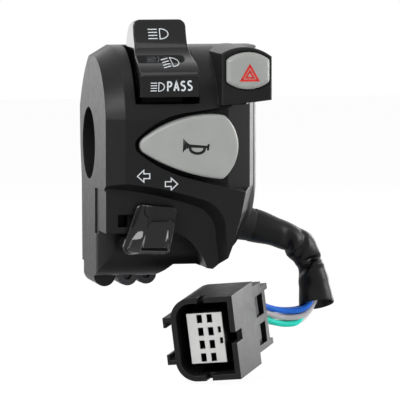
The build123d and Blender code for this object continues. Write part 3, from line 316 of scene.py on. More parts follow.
@dataclass(frozen=True)
class Moulded:
    """Moulded plastic or rubber: a fine grain, cloudy tone, rubbed patches, dust and hairlines.

    Where a place along the connector's axis is given, the tone darkens below it: painted shade in the
    connector's cavities.
    """

    name: str
    colour: Colour
    roughness: float
    grain_mm: float = 0.35
    grain_depth_mm: float = 0.006
    cloud: float = 0.12
    polish: float = 0.12
    dust: float = 0.03
    coat: float = 0.0
    specular: float = 0.5
    wave_depth_mm: float = 0.0
    # Where the painted shade of the connector's cavities begins, along its axis
    painted_shade_from_mm: float | None = None
    coat_roughness: float = 0.04
    dust_colour: Colour = (0.55, 0.54, 0.52)
    # The colour of the painted shade in the connector's cavities
    painted_shade_colour: Colour = (0.006, 0.006, 0.006)

    def make(self) -> bpy.types.Material:
        """Builds the material.

        Returns:
            The finished material.
        """
        weave = Weave(self.name)
        cloud = weave.noise(9.0, 4.0)
        rubbed = weave.noise(3.1, 5.0, 0.62).rise(0.42, 0.66)
        grain = weave.cells(self.grain_mm)
        speck = weave.noise(0.55, 2.0).rise(0.66, 0.74)
        hairline = weave.noise(0.9, 2.0, 0.5, (1.0, 1.0, 14.0)).rise(0.61, 0.67)
        dark, light = tint(self.colour, 1 - self.cloud), tint(self.colour, 1 + self.cloud)
        tone = weave.mix(cloud.rise(0.3, 0.7), dark, light)
        dusted = weave.mix(speck * self.dust, tone, self.dust_colour)
        # Painted shade: the tone darkens below the given place along the connector's axis, standing in for
        # the shade in the insert's cavities
        if self.painted_shade_from_mm is not None:
            product = {"operation": "DOT_PRODUCT"}
            terms = {0: weave.place(), 1: PLUG_AXIS}
            depth = weave.add("ShaderNodeVectorMath", product, terms, output="Value")
            painted_cavity_shade = (depth * -1.0 + self.painted_shade_from_mm * MM).rise(0.15 * MM, 0.6 * MM)
            dusted = weave.mix(painted_cavity_shade, dusted, self.painted_shade_colour)
        worn = self.roughness - rubbed * self.polish + grain * 0.05
        roughness = worn + hairline * self.polish * 0.5 + speck * self.dust
        height = grain * 0.7 + weave.noise(self.grain_mm * 2.3, 3.0) * 0.5 - hairline * 0.12
        normal = weave.relief(height, self.grain_depth_mm)
        if self.wave_depth_mm:
            normal = weave.bump(weave.noise(6.5, 2.0, 0.4), self.wave_depth_mm, normal)
        return weave.shade(
            Base_Color=dusted,
            Roughness=roughness,
            Normal=normal,
            Coat_Weight=self.coat,
            Coat_Roughness=self.coat_roughness,
            Specular_IOR_Level=self.specular,
        )


@dataclass(frozen=True)
class Plated:
    """Bare or plated metal: drawn lines, dull patches and darker spots."""

    name: str
    colour: Colour
    roughness: float
    grain_mm: float = 0.12
    stretch: Point = (1.0, 9.0, 9.0)
    tarnish: float = 0.35

    def make(self) -> bpy.types.Material:
        """Builds the material.

        Returns:
            The finished material.
        """
        weave = Weave(self.name)
        drawn = weave.noise(self.grain_mm * 9, 4.0, 0.6, self.stretch)
        patch = weave.noise(2.2, 4.0, 0.6).rise(0.45, 0.68)
        spot = weave.cells(0.8).rise(0.0, 0.22, 1.0, 0.0) * patch
        tone = weave.mix(drawn.rise(0.35, 0.65), tint(self.colour, 0.88), tint(self.colour, 1.08))
        dulled = weave.mix(patch * self.tarnish, tone, tint(self.colour, 0.62))
        spotted = weave.mix(spot * 0.4, dulled, tint(self.colour, 0.35))
        return weave.shade(
            Base_Color=spotted,
            Roughness=self.roughness + drawn * 0.12 + patch * 0.1,
            Metallic=1.0 - spot * 0.35,
            Normal=weave.relief(drawn + spot * 0.4, 0.004),
        )


@dataclass(frozen=True)
class Printed:
    """Pad-printed ink: thin, a little uneven, with a slightly broken body."""

    name: str
    colour: Colour
    roughness: float = 0.45
    specular: float = 0.2

    def make(self) -> bpy.types.Material:
        """Builds the material.

        Returns:
            The finished material.
        """
        weave = Weave(self.name)
        body = weave.noise(0.5, 3.0).rise(0.25, 0.6)
        mottled = weave.mix(body, tint(self.colour, 0.84), self.colour)
        grain = weave.noise(0.16, 2.0)
        rough = self.roughness + grain * 0.12
        return weave.shade(
            Base_Color=mottled,
            Roughness=rough,
            Specular_IOR_Level=self.specular,
            Normal=weave.relief(grain, 0.003),
        )


class Look(Enum):
    """The finishes of this switch cluster, by what they are on."""

    CASE = Moulded("case_satin_black", (0.009, 0.0091, 0.0097), 0.33, grain_mm=0.28, cloud=0.06,
                   polish=0.04, dust=0.005, specular=0.2)
    KNOB = Moulded("knob_gloss_black", (0.003, 0.003, 0.0033), 0.1, grain_mm=1.6, grain_depth_mm=0.0015,
                   polish=0.05, dust=0.008, coat=0.5, specular=0.1, wave_depth_mm=0.01)
    BUTTON = Moulded("button_light_grey", (0.36, 0.37, 0.355), 0.42, grain_mm=0.3, cloud=0.04, dust=0.02)
    NYLON = Moulded("base_black_nylon", (0.012, 0.012, 0.013), 0.5, cloud=0.06, dust=0.01, specular=0.2)
    RUBBER = Moulded("gland_rubber", (0.016, 0.016, 0.017), 0.55, grain_mm=0.5, grain_depth_mm=0.02,
                     specular=0.2)
    SLEEVE = Moulded("sleeve_vinyl", (0.005, 0.005, 0.0055), 0.3, grain_mm=0.9, grain_depth_mm=0.01,
                     polish=0.05, dust=0.01, specular=0.22, wave_depth_mm=0.05)
    PLUG = Moulded("connector_black", (0.011, 0.011, 0.012), 0.36, grain_mm=0.4, cloud=0.06,
                   polish=0.05, dust=0.008, specular=0.22)
    # The white insert carries painted shade in its cavities, below its face
    PLUG_CORE = Moulded("connector_white", (0.66, 0.66, 0.65), 0.42, cloud=0.05, painted_shade_from_mm=INSERT_FACE)
    SEAL = Moulded("seal_rubber", (0.33, 0.10, 0.05), 0.5)
    STEEL = Plated("black_plated_steel", (0.06, 0.06, 0.065), 0.3)
    SPRING = Plated("spring_steel", (0.48, 0.48, 0.49), 0.25)
    BRASS = Plated("contact_brass", (0.78, 0.57, 0.27), 0.28)
    WHITE_INK = Printed("white_print", (0.80, 0.84, 0.88))
    RED_INK = Printed("red_print", (0.70, 0.045, 0.035))
    DARK_INK = Printed("dark_print", (0.010, 0.010, 0.011))
    WIRE_BLUE = Moulded("wire_blue", (0.004, 0.10, 0.88), 0.28, grain_mm=0.6, grain_depth_mm=0.004,
                        cloud=0.08, specular=0.25)
    WIRE_LIGHT_BLUE = Moulded("wire_light_blue", (0.02, 0.20, 0.92), 0.3, grain_mm=0.6, cloud=0.08,
                              specular=0.25)
    WIRE_GREEN = Moulded("wire_green", (0.004, 0.24, 0.17), 0.3, grain_mm=0.6, cloud=0.08, specular=0.25)
    WIRE_GREY = Moulded("wire_grey", (0.60, 0.58, 0.59), 0.3, grain_mm=0.6, cloud=0.06, specular=0.25)
    WIRE_WHITE = Moulded("wire_white", (0.78, 0.76, 0.77), 0.3, grain_mm=0.6, cloud=0.04)
    WIRE_TURQUOISE = Moulded("wire_turquoise", (0.03, 0.90, 0.70), 0.3, grain_mm=0.6, cloud=0.08,
                             specular=0.25)


class Dresser:
    """Makes each finish once and puts it on pieces."""

    def __init__(self) -> None:
        """Starts with no finish made."""
        self.made: dict[Look, bpy.types.Material] = {}

    def material(self, look: Look) -> bpy.types.Material:
        """Gives a finish's material, and builds it the first time.

        Args:
            look: the finish.

        Returns:
            Its material.
        """
        if look not in self.made:
            self.made[look] = look.value.make()
        return self.made[look]

    def dress(self, piece: bpy.types.Object, look: Look) -> None:
        """Puts a finish on every face of a piece.

        Args:
            piece: the object that gets it.
            look: the finish.
        """
        material = self.material(look)
        if piece.material_slots:
            for slot in piece.material_slots:
                slot.link = "OBJECT"
                slot.material = material
        else:
            piece.data.materials.append(material)
        log.info("%s: %s", piece.name, material.name)

    def dress_nodes(self, look: Look, *names: str) -> None:
        """Puts a finish on CAD nodes by their names."""
        for name in names:
            self.dress(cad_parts[name], look)


# Moulded keys and coils

carriers: dict[str, bpy.types.Object] = {}


@dataclass(frozen=True)
class Dish:
    """A hollow in a key's face, inside a rim, with a sloping flank along its left side.

    The corners run anticlockwise from the lower left, so the last side is the left one. Lengths are
    in millimetres.
    """

    corners: tuple[Flat, ...]
    depth: float
    rim: float
    fade: float
    flank: float
    flank_depth: float
    reach: float = 5.0
    firmness: float = 1.25

    def sink(self, place: Vector) -> float:
        """Works out how far the face lies back at a place.

        Args:
            place: the place in metres.

        Returns:
            The depth in metres.
        """
        x, z = place.x / MM - OUTER_END, place.z / MM
        sides = []
        for (ax, az), (bx, bz) in zip(self.corners, self.corners[1:] + self.corners[:1]):
            run = Vector((bx - ax, bz - az))
            sides.append(((z - az) * run.x - (x - ax) * run.y) / run.length)
        sides[-1] -= self.flank
        part = min(1.0, max(0.0, (min(sides) - self.rim) / self.fade))
        slope = min(1.0, max(0.0, -sides[-1] / self.flank))
        return (self.depth * part * part * (3 - 2 * part) + self.flank_depth * slope) * MM

    def press(self, vertices: Iterable[bpy.types.MeshVertex]) -> None:
        """Moves a key's skin back, fully at its face and less and less behind it.

        Args:
            vertices: the points of the key's skin.
        """
        vertices = list(vertices)
        front = min(vertex.co.y for vertex in vertices)
        for vertex in vertices:
            share = max(0.0, 1.0 - (vertex.co.y - front) / (self.reach * MM))
            vertex.co.y += self.sink(vertex.co) * min(1.0, self.firmness * share)


@dataclass(frozen=True)
class Key:
    """A switch's key with its moulded edges rounded, which replaces its solid."""

    node: str
    body: str
    look: Look
    slot: str
    voxel: float = 0.22
    rounds: int = 8
    share: float = 0.35
    dish: Dish | None = None

    def settle(self, piece: bpy.types.Object) -> None:
        """Turns a piece's modifiers into its own mesh.

        Args:
            piece: the object.
        """
        graph = bpy.context.evaluated_depsgraph_get()
        mesh = bpy.data.meshes.new_from_object(piece.evaluated_get(graph))
        piece.modifiers.clear()
        piece.data = mesh

    def build(self, dresser: Dresser) -> None:
        """Copies the solid, evens out its faces, hollows its face and rounds its edges.

        Args:
            dresser: gives the key's finish.
        """
        piece = stand(f"{self.node}_moulded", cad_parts[self.node].data.copy())
        even = piece.modifiers.new("even", "REMESH")
        even.mode = "VOXEL"
        even.voxel_size = self.voxel * MM
        self.settle(piece)
        if self.dish:
            self.dish.press(piece.data.vertices)
        soften = piece.modifiers.new("soften", "SMOOTH")
        soften.iterations = self.rounds
        lighten = piece.modifiers.new("lighten", "DECIMATE")
        lighten.ratio = self.share
        self.settle(piece)
        piece.data.materials.clear()
        smooth(piece.data)
        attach(piece, self.body)
        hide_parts(self.node)
        dresser.dress(piece, self.look)
        carriers[self.node] = piece


@dataclass(frozen=True)
class Coil:
    """A spring, which shortens with its joint on the real switch, copied unchanged in place of its solid;
    lengths in millimetres.
    """

    node: str
    body: str
    joint: str
    fixed_y: float
    length: float
    travel: float

    def build(self, dresser: Dresser) -> None:
        """Copies the solid unchanged and puts the copy in its place.

        Args:
            dresser: gives the steel.
        """
        piece = stand(f"{self.node}_coil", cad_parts[self.node].data.copy())
        piece.data.materials.clear()
        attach(piece, self.body)
        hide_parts(self.node)
        dresser.dress(piece, Look.SPRING)
        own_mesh(piece)


# Prints on the switches and the case


def turned(points: Iterable[Flat], degrees: float) -> list[Flat]:
    """Turns points about the middle, anticlockwise as the rider sees them."""
    c, s = math.cos(math.radians(degrees)), math.sin(math.radians(degrees))
    return [(x * c - z * s, x * s + z * c) for x, z in points]


def arc(middle: Flat, radii: Flat, start: float, end: float, steps: int = 14) -> list[Flat]:
    """Gives points on an arc.

    Args:
        middle: its centre.
        radii: its half width and half height.
        start: the first angle in degrees.
        end: the last angle in degrees.
        steps: how many pieces it has.

    Returns:
        The points, ends included.
    """
    angles = [math.radians(start + (end - start) * i / steps) for i in range(steps + 1)]
    return [(middle[0] + radii[0] * math.cos(a), middle[1] + radii[1] * math.sin(a)) for a in angles]


@dataclass(frozen=True)
class Stroke:
    """A line through points, open or closed, with a second width where it tapers to its end.

    The cosine named sharpest limits how wide the line grows at its corners.
    """

    points: tuple[Flat, ...]
    width: float
    closed: bool = False
    end_width: float | None = None
    sharpest: float = 0.45

    def sized(self, tall: float, points: Iterable[Flat]) -> "Stroke":
        """Gives this stroke through other points, with its widths scaled by the sign's height."""
        end_width = None if self.end_width is None else self.end_width * tall
        return Stroke(tuple(points), self.width * tall, self.closed, end_width)

    def strips(self, step: float) -> list[list[Flat]]:
        """Cuts the stroke into quads no longer than a step.

        Args:
            step: the longest quad in millimetres.

        Returns:
            The quads, each as four points.
        """
        line = [Vector(point) for point in self.points]
        if self.closed:
            line.append(line[0])
        fine = [line[0]]
        for start, end in zip(line, line[1:]):
            count = max(1, math.ceil((end - start).length / step))
            fine += [start.lerp(end, i / count) for i in range(1, count + 1)]
        sides = []
        last = len(fine) - 1
        for i, spot in enumerate(fine):
            before = fine[i - 1] if i else (fine[-2] if self.closed else None)
            after = fine[i + 1] if i < last else (fine[1] if self.closed else None)
            arrive = (spot - before).normalized() if before is not None else (after - spot).normalized()
            leave = (after - spot).normalized() if after is not None else arrive
            lean = (arrive + leave).normalized()
            end_width = self.width if self.end_width is None else self.end_width
            width = self.width + (end_width - self.width) * i / last
            across = Vector((-lean.y, lean.x)) * width / 2 / max(self.sharpest, lean.dot(arrive))
            sides.append((spot + across, spot - across))
        return [[tuple(a[0]), tuple(b[0]), tuple(b[1]), tuple(a[1])] for a, b in zip(sides, sides[1:])]


class Sign(Enum):
    """The generic signs that a switch cluster carries."""

    HIGH_BEAM = "high_beam"
    LOW_BEAM = "low_beam"
    PASS_WORD = "pass_word"
    HAZARD = "hazard"
    HORN = "horn"
    ARROW = "arrow"


def lamp_strokes(slope: float, line: float) -> list[Stroke]:
    """Draws a headlamp with its beams to the left.

    Args:
        slope: how far each beam drops towards its end.
        line: the width of the lines.

    Returns:
        The strokes, in a drawing 2 wide and 1 high.
    """
    bowl = [(0.18, 0.46), (0.18, -0.46)] + arc((0.18, 0.0), (0.78, 0.46), -80, 80)
    beams = [((-0.06, z), (-0.92, z - slope)) for z in (0.42, 0.14, -0.14, -0.42)]
    return [Stroke(tuple(bowl), line, True)] + [Stroke(beam, line) for beam in beams]


def word_strokes(line: float) -> list[Stroke]:
    """Draws the word PASS in plain capitals.

    Args:
        line: the width of the lines.

    Returns:
        The strokes, in a drawing 4 wide and 1 high.
    """
    s_shape = arc((0.4, 0.27), (0.27, 0.22), 35, 270, 9) + arc((0.4, -0.24), (0.29, 0.25), 90, -145, 9)
    bow = arc((0.36, 0.25), (0.3, 0.25), 80, -90, 8)
    p_shape = [(0.12, -0.5), (0.12, 0.5), (0.36, 0.5)] + bow + [(0.14, 0.0)]
    a_shape = [(0.06, -0.5), (0.4, 0.5), (0.74, -0.5)]
    letters = [(0, p_shape), (1, a_shape), (1, [(0.2, -0.17), (0.6, -0.17)]), (2, s_shape), (3, s_shape)]
    return [Stroke(tuple((x + place * 0.98 - 1.9, z) for x, z in shape), line) for place, shape in letters]


HAZARD_CORNERS: tuple[Flat, ...] = ((-0.577, -0.333), (0.577, -0.333), (0.0, 0.667))


def horn_strokes(line: float) -> list[Stroke]:
    """Draws a bugle with its bell to the left.

    Args:
        line: the width of the lines.

    Returns:
        The strokes, in a drawing 1.84 wide and 1 high.
    """
    bell = [
        Stroke(((-0.84, 0.03), (-0.74, 0.03)), 0.94, end_width=0.66),
        Stroke(((-0.74, 0.03), (-0.6, 0.02)), 0.66, end_width=0.42),
        Stroke(((-0.6, 0.02), (-0.38, 0.02)), 0.42, end_width=1.3 * line),
    ]
    tube = Stroke(((-0.4, 0.02), (0.78, 0.0)), 1.4 * line, end_width=1.1 * line)
    loop = [(-0.34, -0.02)] + arc((0.1, -0.14), (0.47, 0.3), 175, 365, 18) + [(0.56, -0.02)]
    return bell + [tube, Stroke(tuple(loop), 1.25 * line), Stroke(((0.83, 0.19), (0.79, -0.22)), line)]


def sign_strokes(sign: Sign, line: float) -> list[Stroke]:
    """Draws a sign about the middle, one unit high.

    Args:
        sign: which one.
        line: the width of its lines as a share of its height.

    Returns:
        Its strokes.
    """
    if sign is Sign.HIGH_BEAM:
        return lamp_strokes(0.0, line)
    if sign is Sign.LOW_BEAM:
        return lamp_strokes(0.2, line)
    if sign is Sign.PASS_WORD:
        return word_strokes(line)
    if sign is Sign.HAZARD:
        rims = [[(x * share, z * share) for x, z in HAZARD_CORNERS] for share in (0.82, 0.37)]
        return [Stroke(tuple(rim), width, True) for rim, width in zip(rims, (line, 0.85 * line))]
    if sign is Sign.HORN:
        return horn_strokes(line)
    head = [(0.0, 0.5), (0.55, 0.0), (0.0, -0.5), (0.0, -0.2), (-0.5, -0.2), (-0.5, 0.2), (0.0, 0.2)]
    return [Stroke(tuple(head), line, True)]


@dataclass(frozen=True)
class Print:
    """A sign printed on a CAD node: its place along the case, height, size and lean.

    Lengths are in millimetres and the lean in degrees. A quad steeper than the limit is left out.
    """

    name: str
    sign: Sign
    node: str
    body: str
    place: float
    height: float
    tall: float
    look: Look
    lean: float = 0.0
    line: float = 0.12
    stretch: float = 1.0
    mirrored: bool = False
    lift: float = 0.02
    step: float = 0.25
    ray_start: float = -60.0
    steepest: float = 1.2
    weld: float = 0.002

    def quads(self) -> list[list[Flat]]:
        """Cuts the sign into quads, as the rider sees them.

        Returns:
            The quads, each as four points in millimetres.
        """
        quads = []
        for stroke in sign_strokes(self.sign, self.line):
            side = -1.0 if self.mirrored else 1.0
            shape = [(x * self.tall * self.stretch * side, z * self.tall) for x, z in stroke.points]
            quads += stroke.sized(self.tall, turned(shape, self.lean)).strips(self.step)
        return quads

    def build(self, dresser: Dresser) -> None:
        """Lays the sign on its node's surface, a hair above it.

        Args:
            dresser: gives the ink.
        """
        carrier = carriers.get(self.node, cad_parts[self.node]).data
        faces = [face.vertices for face in carrier.polygons]
        tree = BVHTree.FromPolygons([vertex.co for vertex in carrier.vertices], faces)
        sheet = bmesh.new()
        for quad in self.quads():
            corners = []
            for x, z in quad:
                start = in_metres((along(self.place) + x, self.ray_start, self.height + z))
                spot, normal, _, _ = tree.ray_cast(start, Vector((0.0, 1.0, 0.0)))
                if spot is None:
                    break
                corners.append(spot + normal * self.lift * MM)
            depths = [corner.y for corner in corners]
            if len(corners) == 4 and max(depths) - min(depths) < self.steepest * MM:
                sheet.faces.new([sheet.verts.new(corner) for corner in corners])
        bmesh.ops.remove_doubles(sheet, verts=sheet.verts, dist=self.weld * MM)
        mesh = bpy.data.meshes.new(self.name)
        sheet.to_mesh(mesh)
        sheet.free()
        smooth(mesh)
        piece = stand(self.name, mesh)
        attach(piece, self.body)
        dresser.dress(piece, self.look)


@dataclass
class Prints:
    """Every sign on the switch cluster."""

    signs: tuple[Print, ...] = (
        Print("print_high_beam", Sign.HIGH_BEAM, "dimmer_knob", "dimmer_rocker", 18.0, 34.3, 3.3,
              Look.WHITE_INK, line=0.09),
        Print("print_low_beam", Sign.LOW_BEAM, "dimmer_knob", "dimmer_rocker", 19.7, 26.2, 2.5,
              Look.WHITE_INK, line=0.1, stretch=1.1),
        Print("print_pass_beam", Sign.HIGH_BEAM, "dimmer_knob", "dimmer_rocker", 14.8, 19.0, 2.8,
              Look.WHITE_INK, line=0.1, stretch=0.8),
        Print("print_pass_word", Sign.PASS_WORD, "dimmer_knob", "dimmer_rocker", 21.7, 19.2, 2.8,
              Look.WHITE_INK, lean=2.0, line=0.18, stretch=0.75),
        Print("print_hazard", Sign.HAZARD, "hazard_button", "hazard", 42.7, 22.3, 5.4, Look.RED_INK,
              line=0.125),
        Print("print_horn", Sign.HORN, "horn_button", "horn", 26.5, 0.9, 4.7, Look.DARK_INK, lean=-3.0,
              line=0.145),
        Print("print_arrow_left", Sign.ARROW, "front_housing", "case", 11.1, -8.1, 3.6, Look.WHITE_INK,
              line=0.09, mirrored=True),
        Print("print_arrow_right", Sign.ARROW, "front_housing", "case", 19.5, -10.6, 3.6, Look.WHITE_INK,
              line=0.09),
    )

    def build(self, dresser: Dresser) -> None:
        """Lays down every sign."""
        for sign in self.signs:
            sign.build(dresser)


# Harness


def route_curve(name: str, route: Sequence[Point], diameter: float) -> bpy.types.Object:
    """Makes a smooth open curve through the air along a route.

    Args:
        name: the object's name.
        route: its points in millimetres.
        diameter: the thickness of the cord in millimetres, or 0 for a bare line.

    Returns:
        The curve's object, linked to the scene.
    """
    curve = bpy.data.curves.new(name, "CURVE")
    curve.dimensions = "3D"
    spline = curve.splines.new("NURBS")
    spline.points.add(len(route) - 1)
    for point, place in zip(spline.points, route):
        point.co = (*in_metres(place), 1.0)
    spline.order_u = 3
    spline.use_endpoint_u = True
    curve.resolution_u = 10
    curve.bevel_depth = diameter / 2 * MM
    curve.bevel_resolution = 6
    curve.use_fill_caps = True
    return stand(name, curve)


def route_mesh(route: Sequence[Point], diameter: float) -> bpy.types.Mesh:
    """Makes the mesh of a route's curve, and leaves no curve behind.

    Args:
        route: its points in millimetres.
        diameter: the thickness of the cord in millimetres, or 0 for a bare line.

    Returns:
        The mesh.
    """
    guide = route_curve("guide", route, diameter)
    mesh = bpy.data.meshes.new_from_object(guide)
    curve = guide.data
    bpy.data.objects.remove(guide)
    bpy.data.curves.remove(curve)
    return mesh


def line_points(route: Sequence[Point]) -> list[Vector]:
    """Reads the points of a route's smooth line.

    Args:
        route: its points in millimetres.

    Returns:
        The line's points in metres.
    """
    mesh = route_mesh(route, 0.0)
    points = [vertex.co.copy() for vertex in mesh.vertices]
    bpy.data.meshes.remove(mesh)
    return points


def tube(name: str, route: Sequence[Point], diameter: float) -> bpy.types.Object:
    """Makes a smooth round tube along a route, as a mesh.

    Args:
        name: the object's name.
        route: its points in millimetres.
        diameter: its thickness in millimetres.

    Returns:
        The tube's object, linked to the scene and smooth shaded.
    """
    mesh = route_mesh(route, diameter)
    mesh.name = name
    smooth(mesh)
    return stand(name, mesh)


def ringed_tube(name: str, rings: Sequence[Sequence[Vector]]) -> bpy.types.Object:
    """Skins closed rings of points, first to last.

    Args:
        name: the object's name.
        rings: rings with the same number of points.

    Returns:
        The object, smooth shaded, with one step of subdivision.
    """
    skin = bmesh.new()
    made = [[skin.verts.new(point) for point in ring] for ring in rings]
    for lower, upper in zip(made, made[1:]):
        for i in range(len(lower)):
            j = (i + 1) % len(lower)
            skin.faces.new((lower[i], lower[j], upper[j], upper[i]))
    bmesh.ops.recalc_face_normals(skin, faces=skin.faces)
    mesh = bpy.data.meshes.new(name)
    skin.to_mesh(mesh)
    skin.free()
    smooth(mesh)
    thing = stand(name, mesh)
    thing.modifiers.new("round", "SUBSURF").render_levels = 1
    return thing


@dataclass(frozen=True)
class Crease:
    """A fold in the sleeve: its share of the way along, side in radians, depth, breadth and slant."""

    share: float
    side: float
    depth: float
    breadth: float = 0.03
    slant: float = 0.05


@dataclass
class Sleeve:
    """The flattened, kinked vinyl sleeve between the case and the wires' mouth.

    Lengths are in millimetres, and shares count from 0 at the case to 1 at the mouth.
    """

    route: tuple[Point, ...] = (
        (27.76, 6.5, -26.81), (35.49, 6.5, -28.88), (44.5, 8.6, -33.5), (48.6, 10.0, -43.0),
        (49.4, 10.0, -52.6),
    )
    length: float = 37.0
    shares: tuple[float, ...] = (0.0, 0.2, 0.36, 0.5, 0.64, 0.72, 0.86, 1.0)
    half_widths: tuple[float, ...] = (5.3, 4.5, 4.4, 5.1, 4.5, 4.2, 4.9, 5.6)
    half_depths: tuple[float, ...] = (4.5, 4.3, 4.0, 3.6, 3.4, 3.6, 4.0, 4.2)
    wall: float = 0.5
    mouth_depth: float = 8.0
    mouth_tilt: float = 1.9
    creases: tuple[Crease, ...] = (
        Crease(0.30, 3.6, 0.9, 0.05, 0.10),
        Crease(0.40, 4.4, 0.6, 0.03, -0.12),
        Crease(0.47, 3.1, 0.5, 0.035, 0.16),
        Crease(0.66, 2.7, 1.3, 0.028, -0.07),
        Crease(0.70, 3.6, 0.9, 0.03, 0.12),
        Crease(0.82, 4.1, 0.5, 0.08, -0.16),
    )
    crease_turn: float = 0.85
    crease_ridge: float = 0.45
    crease_ridge_place: float = 1.7
    tilt_from: float = 0.75
    sides: int = 56
    steps: int = 150

    def between(self, values: Sequence[float], share: float) -> float:
        """Blends smoothly between the values at the sleeve's stations.

        Args:
            values: a value for each station.
            share: the way along the sleeve.

        Returns:
            The blended value.
        """
        for low, high, first, second in zip(self.shares, self.shares[1:], values, values[1:]):
            if share <= high:
                part = max(0.0, (share - low) / (high - low))
                return first + (second - first) * part * part * (3 - 2 * part)
        return values[-1]

    def dent(self, share: float, angle: float) -> float:
        """Works out how far the creases push the skin in at a place.

        Args:
            share: the way along the sleeve.
            angle: the way around it, in radians.

        Returns:
            The depth in millimetres.
        """
        depth = 0.0
        for crease in self.creases:
            turn = math.remainder(angle - crease.side, math.tau)
            reach = math.exp(-((turn / self.crease_turn) ** 2))
            off = (share - crease.share - crease.slant * turn / 2) / crease.breadth
            ridge = self.crease_ridge * math.exp(-((off - self.crease_ridge_place) ** 2))
            depth += crease.depth * reach * (math.exp(-off * off) - ridge)
        return depth

    def ring(self, line: Sequence[Vector], share: float, inset: float) -> list[Vector]:
        """Gives one ring around the line.

        Args:
            line: the middle line's points.
            share: the way along it.
            inset: how far inside the outer skin the ring lies, in millimetres.

        Returns:
            The ring's points in metres.
        """
        spot = share * (len(line) - 1)
        index = min(int(spot), len(line) - 2)
        middle = line[index].lerp(line[index + 1], spot - index)
        way = (line[min(index + 2, len(line) - 1)] - line[max(index - 1, 0)]).normalized()
        side = Vector((0.0, 1.0, 0.0))
        side = (side - way * side.dot(way)).normalized()
        up = way.cross(side)
        wide, deep = self.between(self.half_widths, share), self.between(self.half_depths, share)
        tilt = self.mouth_tilt * max(0.0, (share - self.tilt_from) / (1 - self.tilt_from)) ** 2
        points = []
        for i in range(self.sides):
            angle = math.tau * i / self.sides
            push = self.dent(share, angle) + inset
            c, s = math.cos(angle), math.sin(angle)
            flat = (side * c * (deep - push) + up * s * (wide - push)) * MM
            points.append(middle + flat + way * tilt * c * MM)
        return points

    def build(self, dresser: Dresser) -> None:
        """Skins the sleeve with its open mouth, and replaces its plain solid.

        Args:
            dresser: gives the vinyl.
        """
        line = line_points(self.route)
        outer = [self.ring(line, i / self.steps, 0.0) for i in range(self.steps + 1)]
        back = int(self.steps * (1 - self.mouth_depth / self.length))
        lip = [self.ring(line, 1.0, self.wall * share) for share in (0.15, 0.85)]
        inner = [self.ring(line, i / self.steps, self.wall) for i in range(self.steps, back, -3)]
        sleeve = ringed_tube("harness_sleeve_creased", outer + lip + inner)
        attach(sleeve, "case")
        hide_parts("harness_sleeve")
        dresser.dress(sleeve, Look.SLEEVE)


@dataclass(frozen=True)
class Wire:
    """One wire from inside the sleeve's mouth to its cavity in the connector."""

    name: str
    look: Look
    route: tuple[Point, ...]

    @staticmethod
    def measured(line: Sequence[Vector]) -> float:
        """Measures a smooth line, in metres."""
        return sum((end - start).length for start, end in zip(line, line[1:]))


@dataclass
class Loom:
    """The six wires, in millimetres."""

    diameter: float = 1.9
    mouth: Point = (48.9, 10.0, -52.0)
    wires: tuple[Wire, ...] = field(default_factory=lambda: LOOM_WIRES)

    def build(self, dresser: Dresser) -> None:
        """Args:
            dresser: gives the wires' colours.
        """
        for wire in self.wires:
            cord = tube(f"{wire.name}_insulated", wire.route, self.diameter)
            line = line_points(wire.route)
            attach(cord, "case")
            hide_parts(wire.name)
            wire.measured(line)
            dresser.dress(cord, wire.look)


LOOM_WIRES: tuple[Wire, ...] = (
    Wire("wire_blue", Look.WIRE_BLUE, (
        (47.6, 10.4, -49.6), (46.9, 10.6, -53.6), (37.3, 9.35, -54.5),
        (24.91, 4.92, -50.68), (19.95, -2.83, -47.83), (16.38, -9.37, -48.66))),
    Wire("wire_light_blue", Look.WIRE_LIGHT_BLUE, (
        (47.6, 8.6, -49.6), (46.9, 8.6, -53.8), (37.3, 7.25, -54.5),
        (27.19, 3.65, -50.44), (22.73, -4.38, -47.54), (19.17, -10.93, -48.37))),
    Wire("wire_green", Look.WIRE_GREEN, (
        (48.1, 12.0, -49.6), (46.9, 12.0, -55.8), (37.3, 9.35, -56.6),
        (25.18, 5.03, -52.76), (20.48, -2.61, -51.78), (16.91, -9.16, -52.62))),
    Wire("wire_grey", Look.WIRE_GREY, (
        (49.2, 10.2, -49.6), (47.4, 9.6, -56.0), (37.3, 7.25, -56.6),
        (27.47, 3.76, -52.52), (23.26, -4.17, -51.5), (19.7, -10.71, -52.33))),
    Wire("wire_white", Look.WIRE_WHITE, (
        (49.8, 12.0, -49.6), (46.8, 11.6, -57.8), (37.3, 9.35, -58.7),
        (25.46, 5.15, -54.84), (21.01, -2.4, -55.74), (17.45, -8.94, -56.58))),
    Wire("wire_turquoise", Look.WIRE_TURQUOISE, (
        (46.2, 12.0, -49.6), (45.6, 10.0, -58.0), (37.3, 7.25, -58.7),
        (27.75, 3.87, -54.6), (23.8, -3.95, -55.46), (20.23, -10.49, -56.29))),
)


# Pieces that keep their CAD shape


@dataclass
class Case:
    """The two halves of the case, their screws and the gland."""

    halves: tuple[str, ...] = ("front_housing", "rear_housing")
    screws: tuple[str, ...] = ("case_screws", "base_screws")

    def build(self, dresser: Dresser) -> None:
        """Dresses the halves, the screws and the gland.

        Args:
            dresser: gives the finishes.
        """
        dresser.dress_nodes(Look.CASE, *self.halves)
        dresser.dress_nodes(Look.STEEL, *self.screws)
        dresser.dress_nodes(Look.RUBBER, "harness_gland")


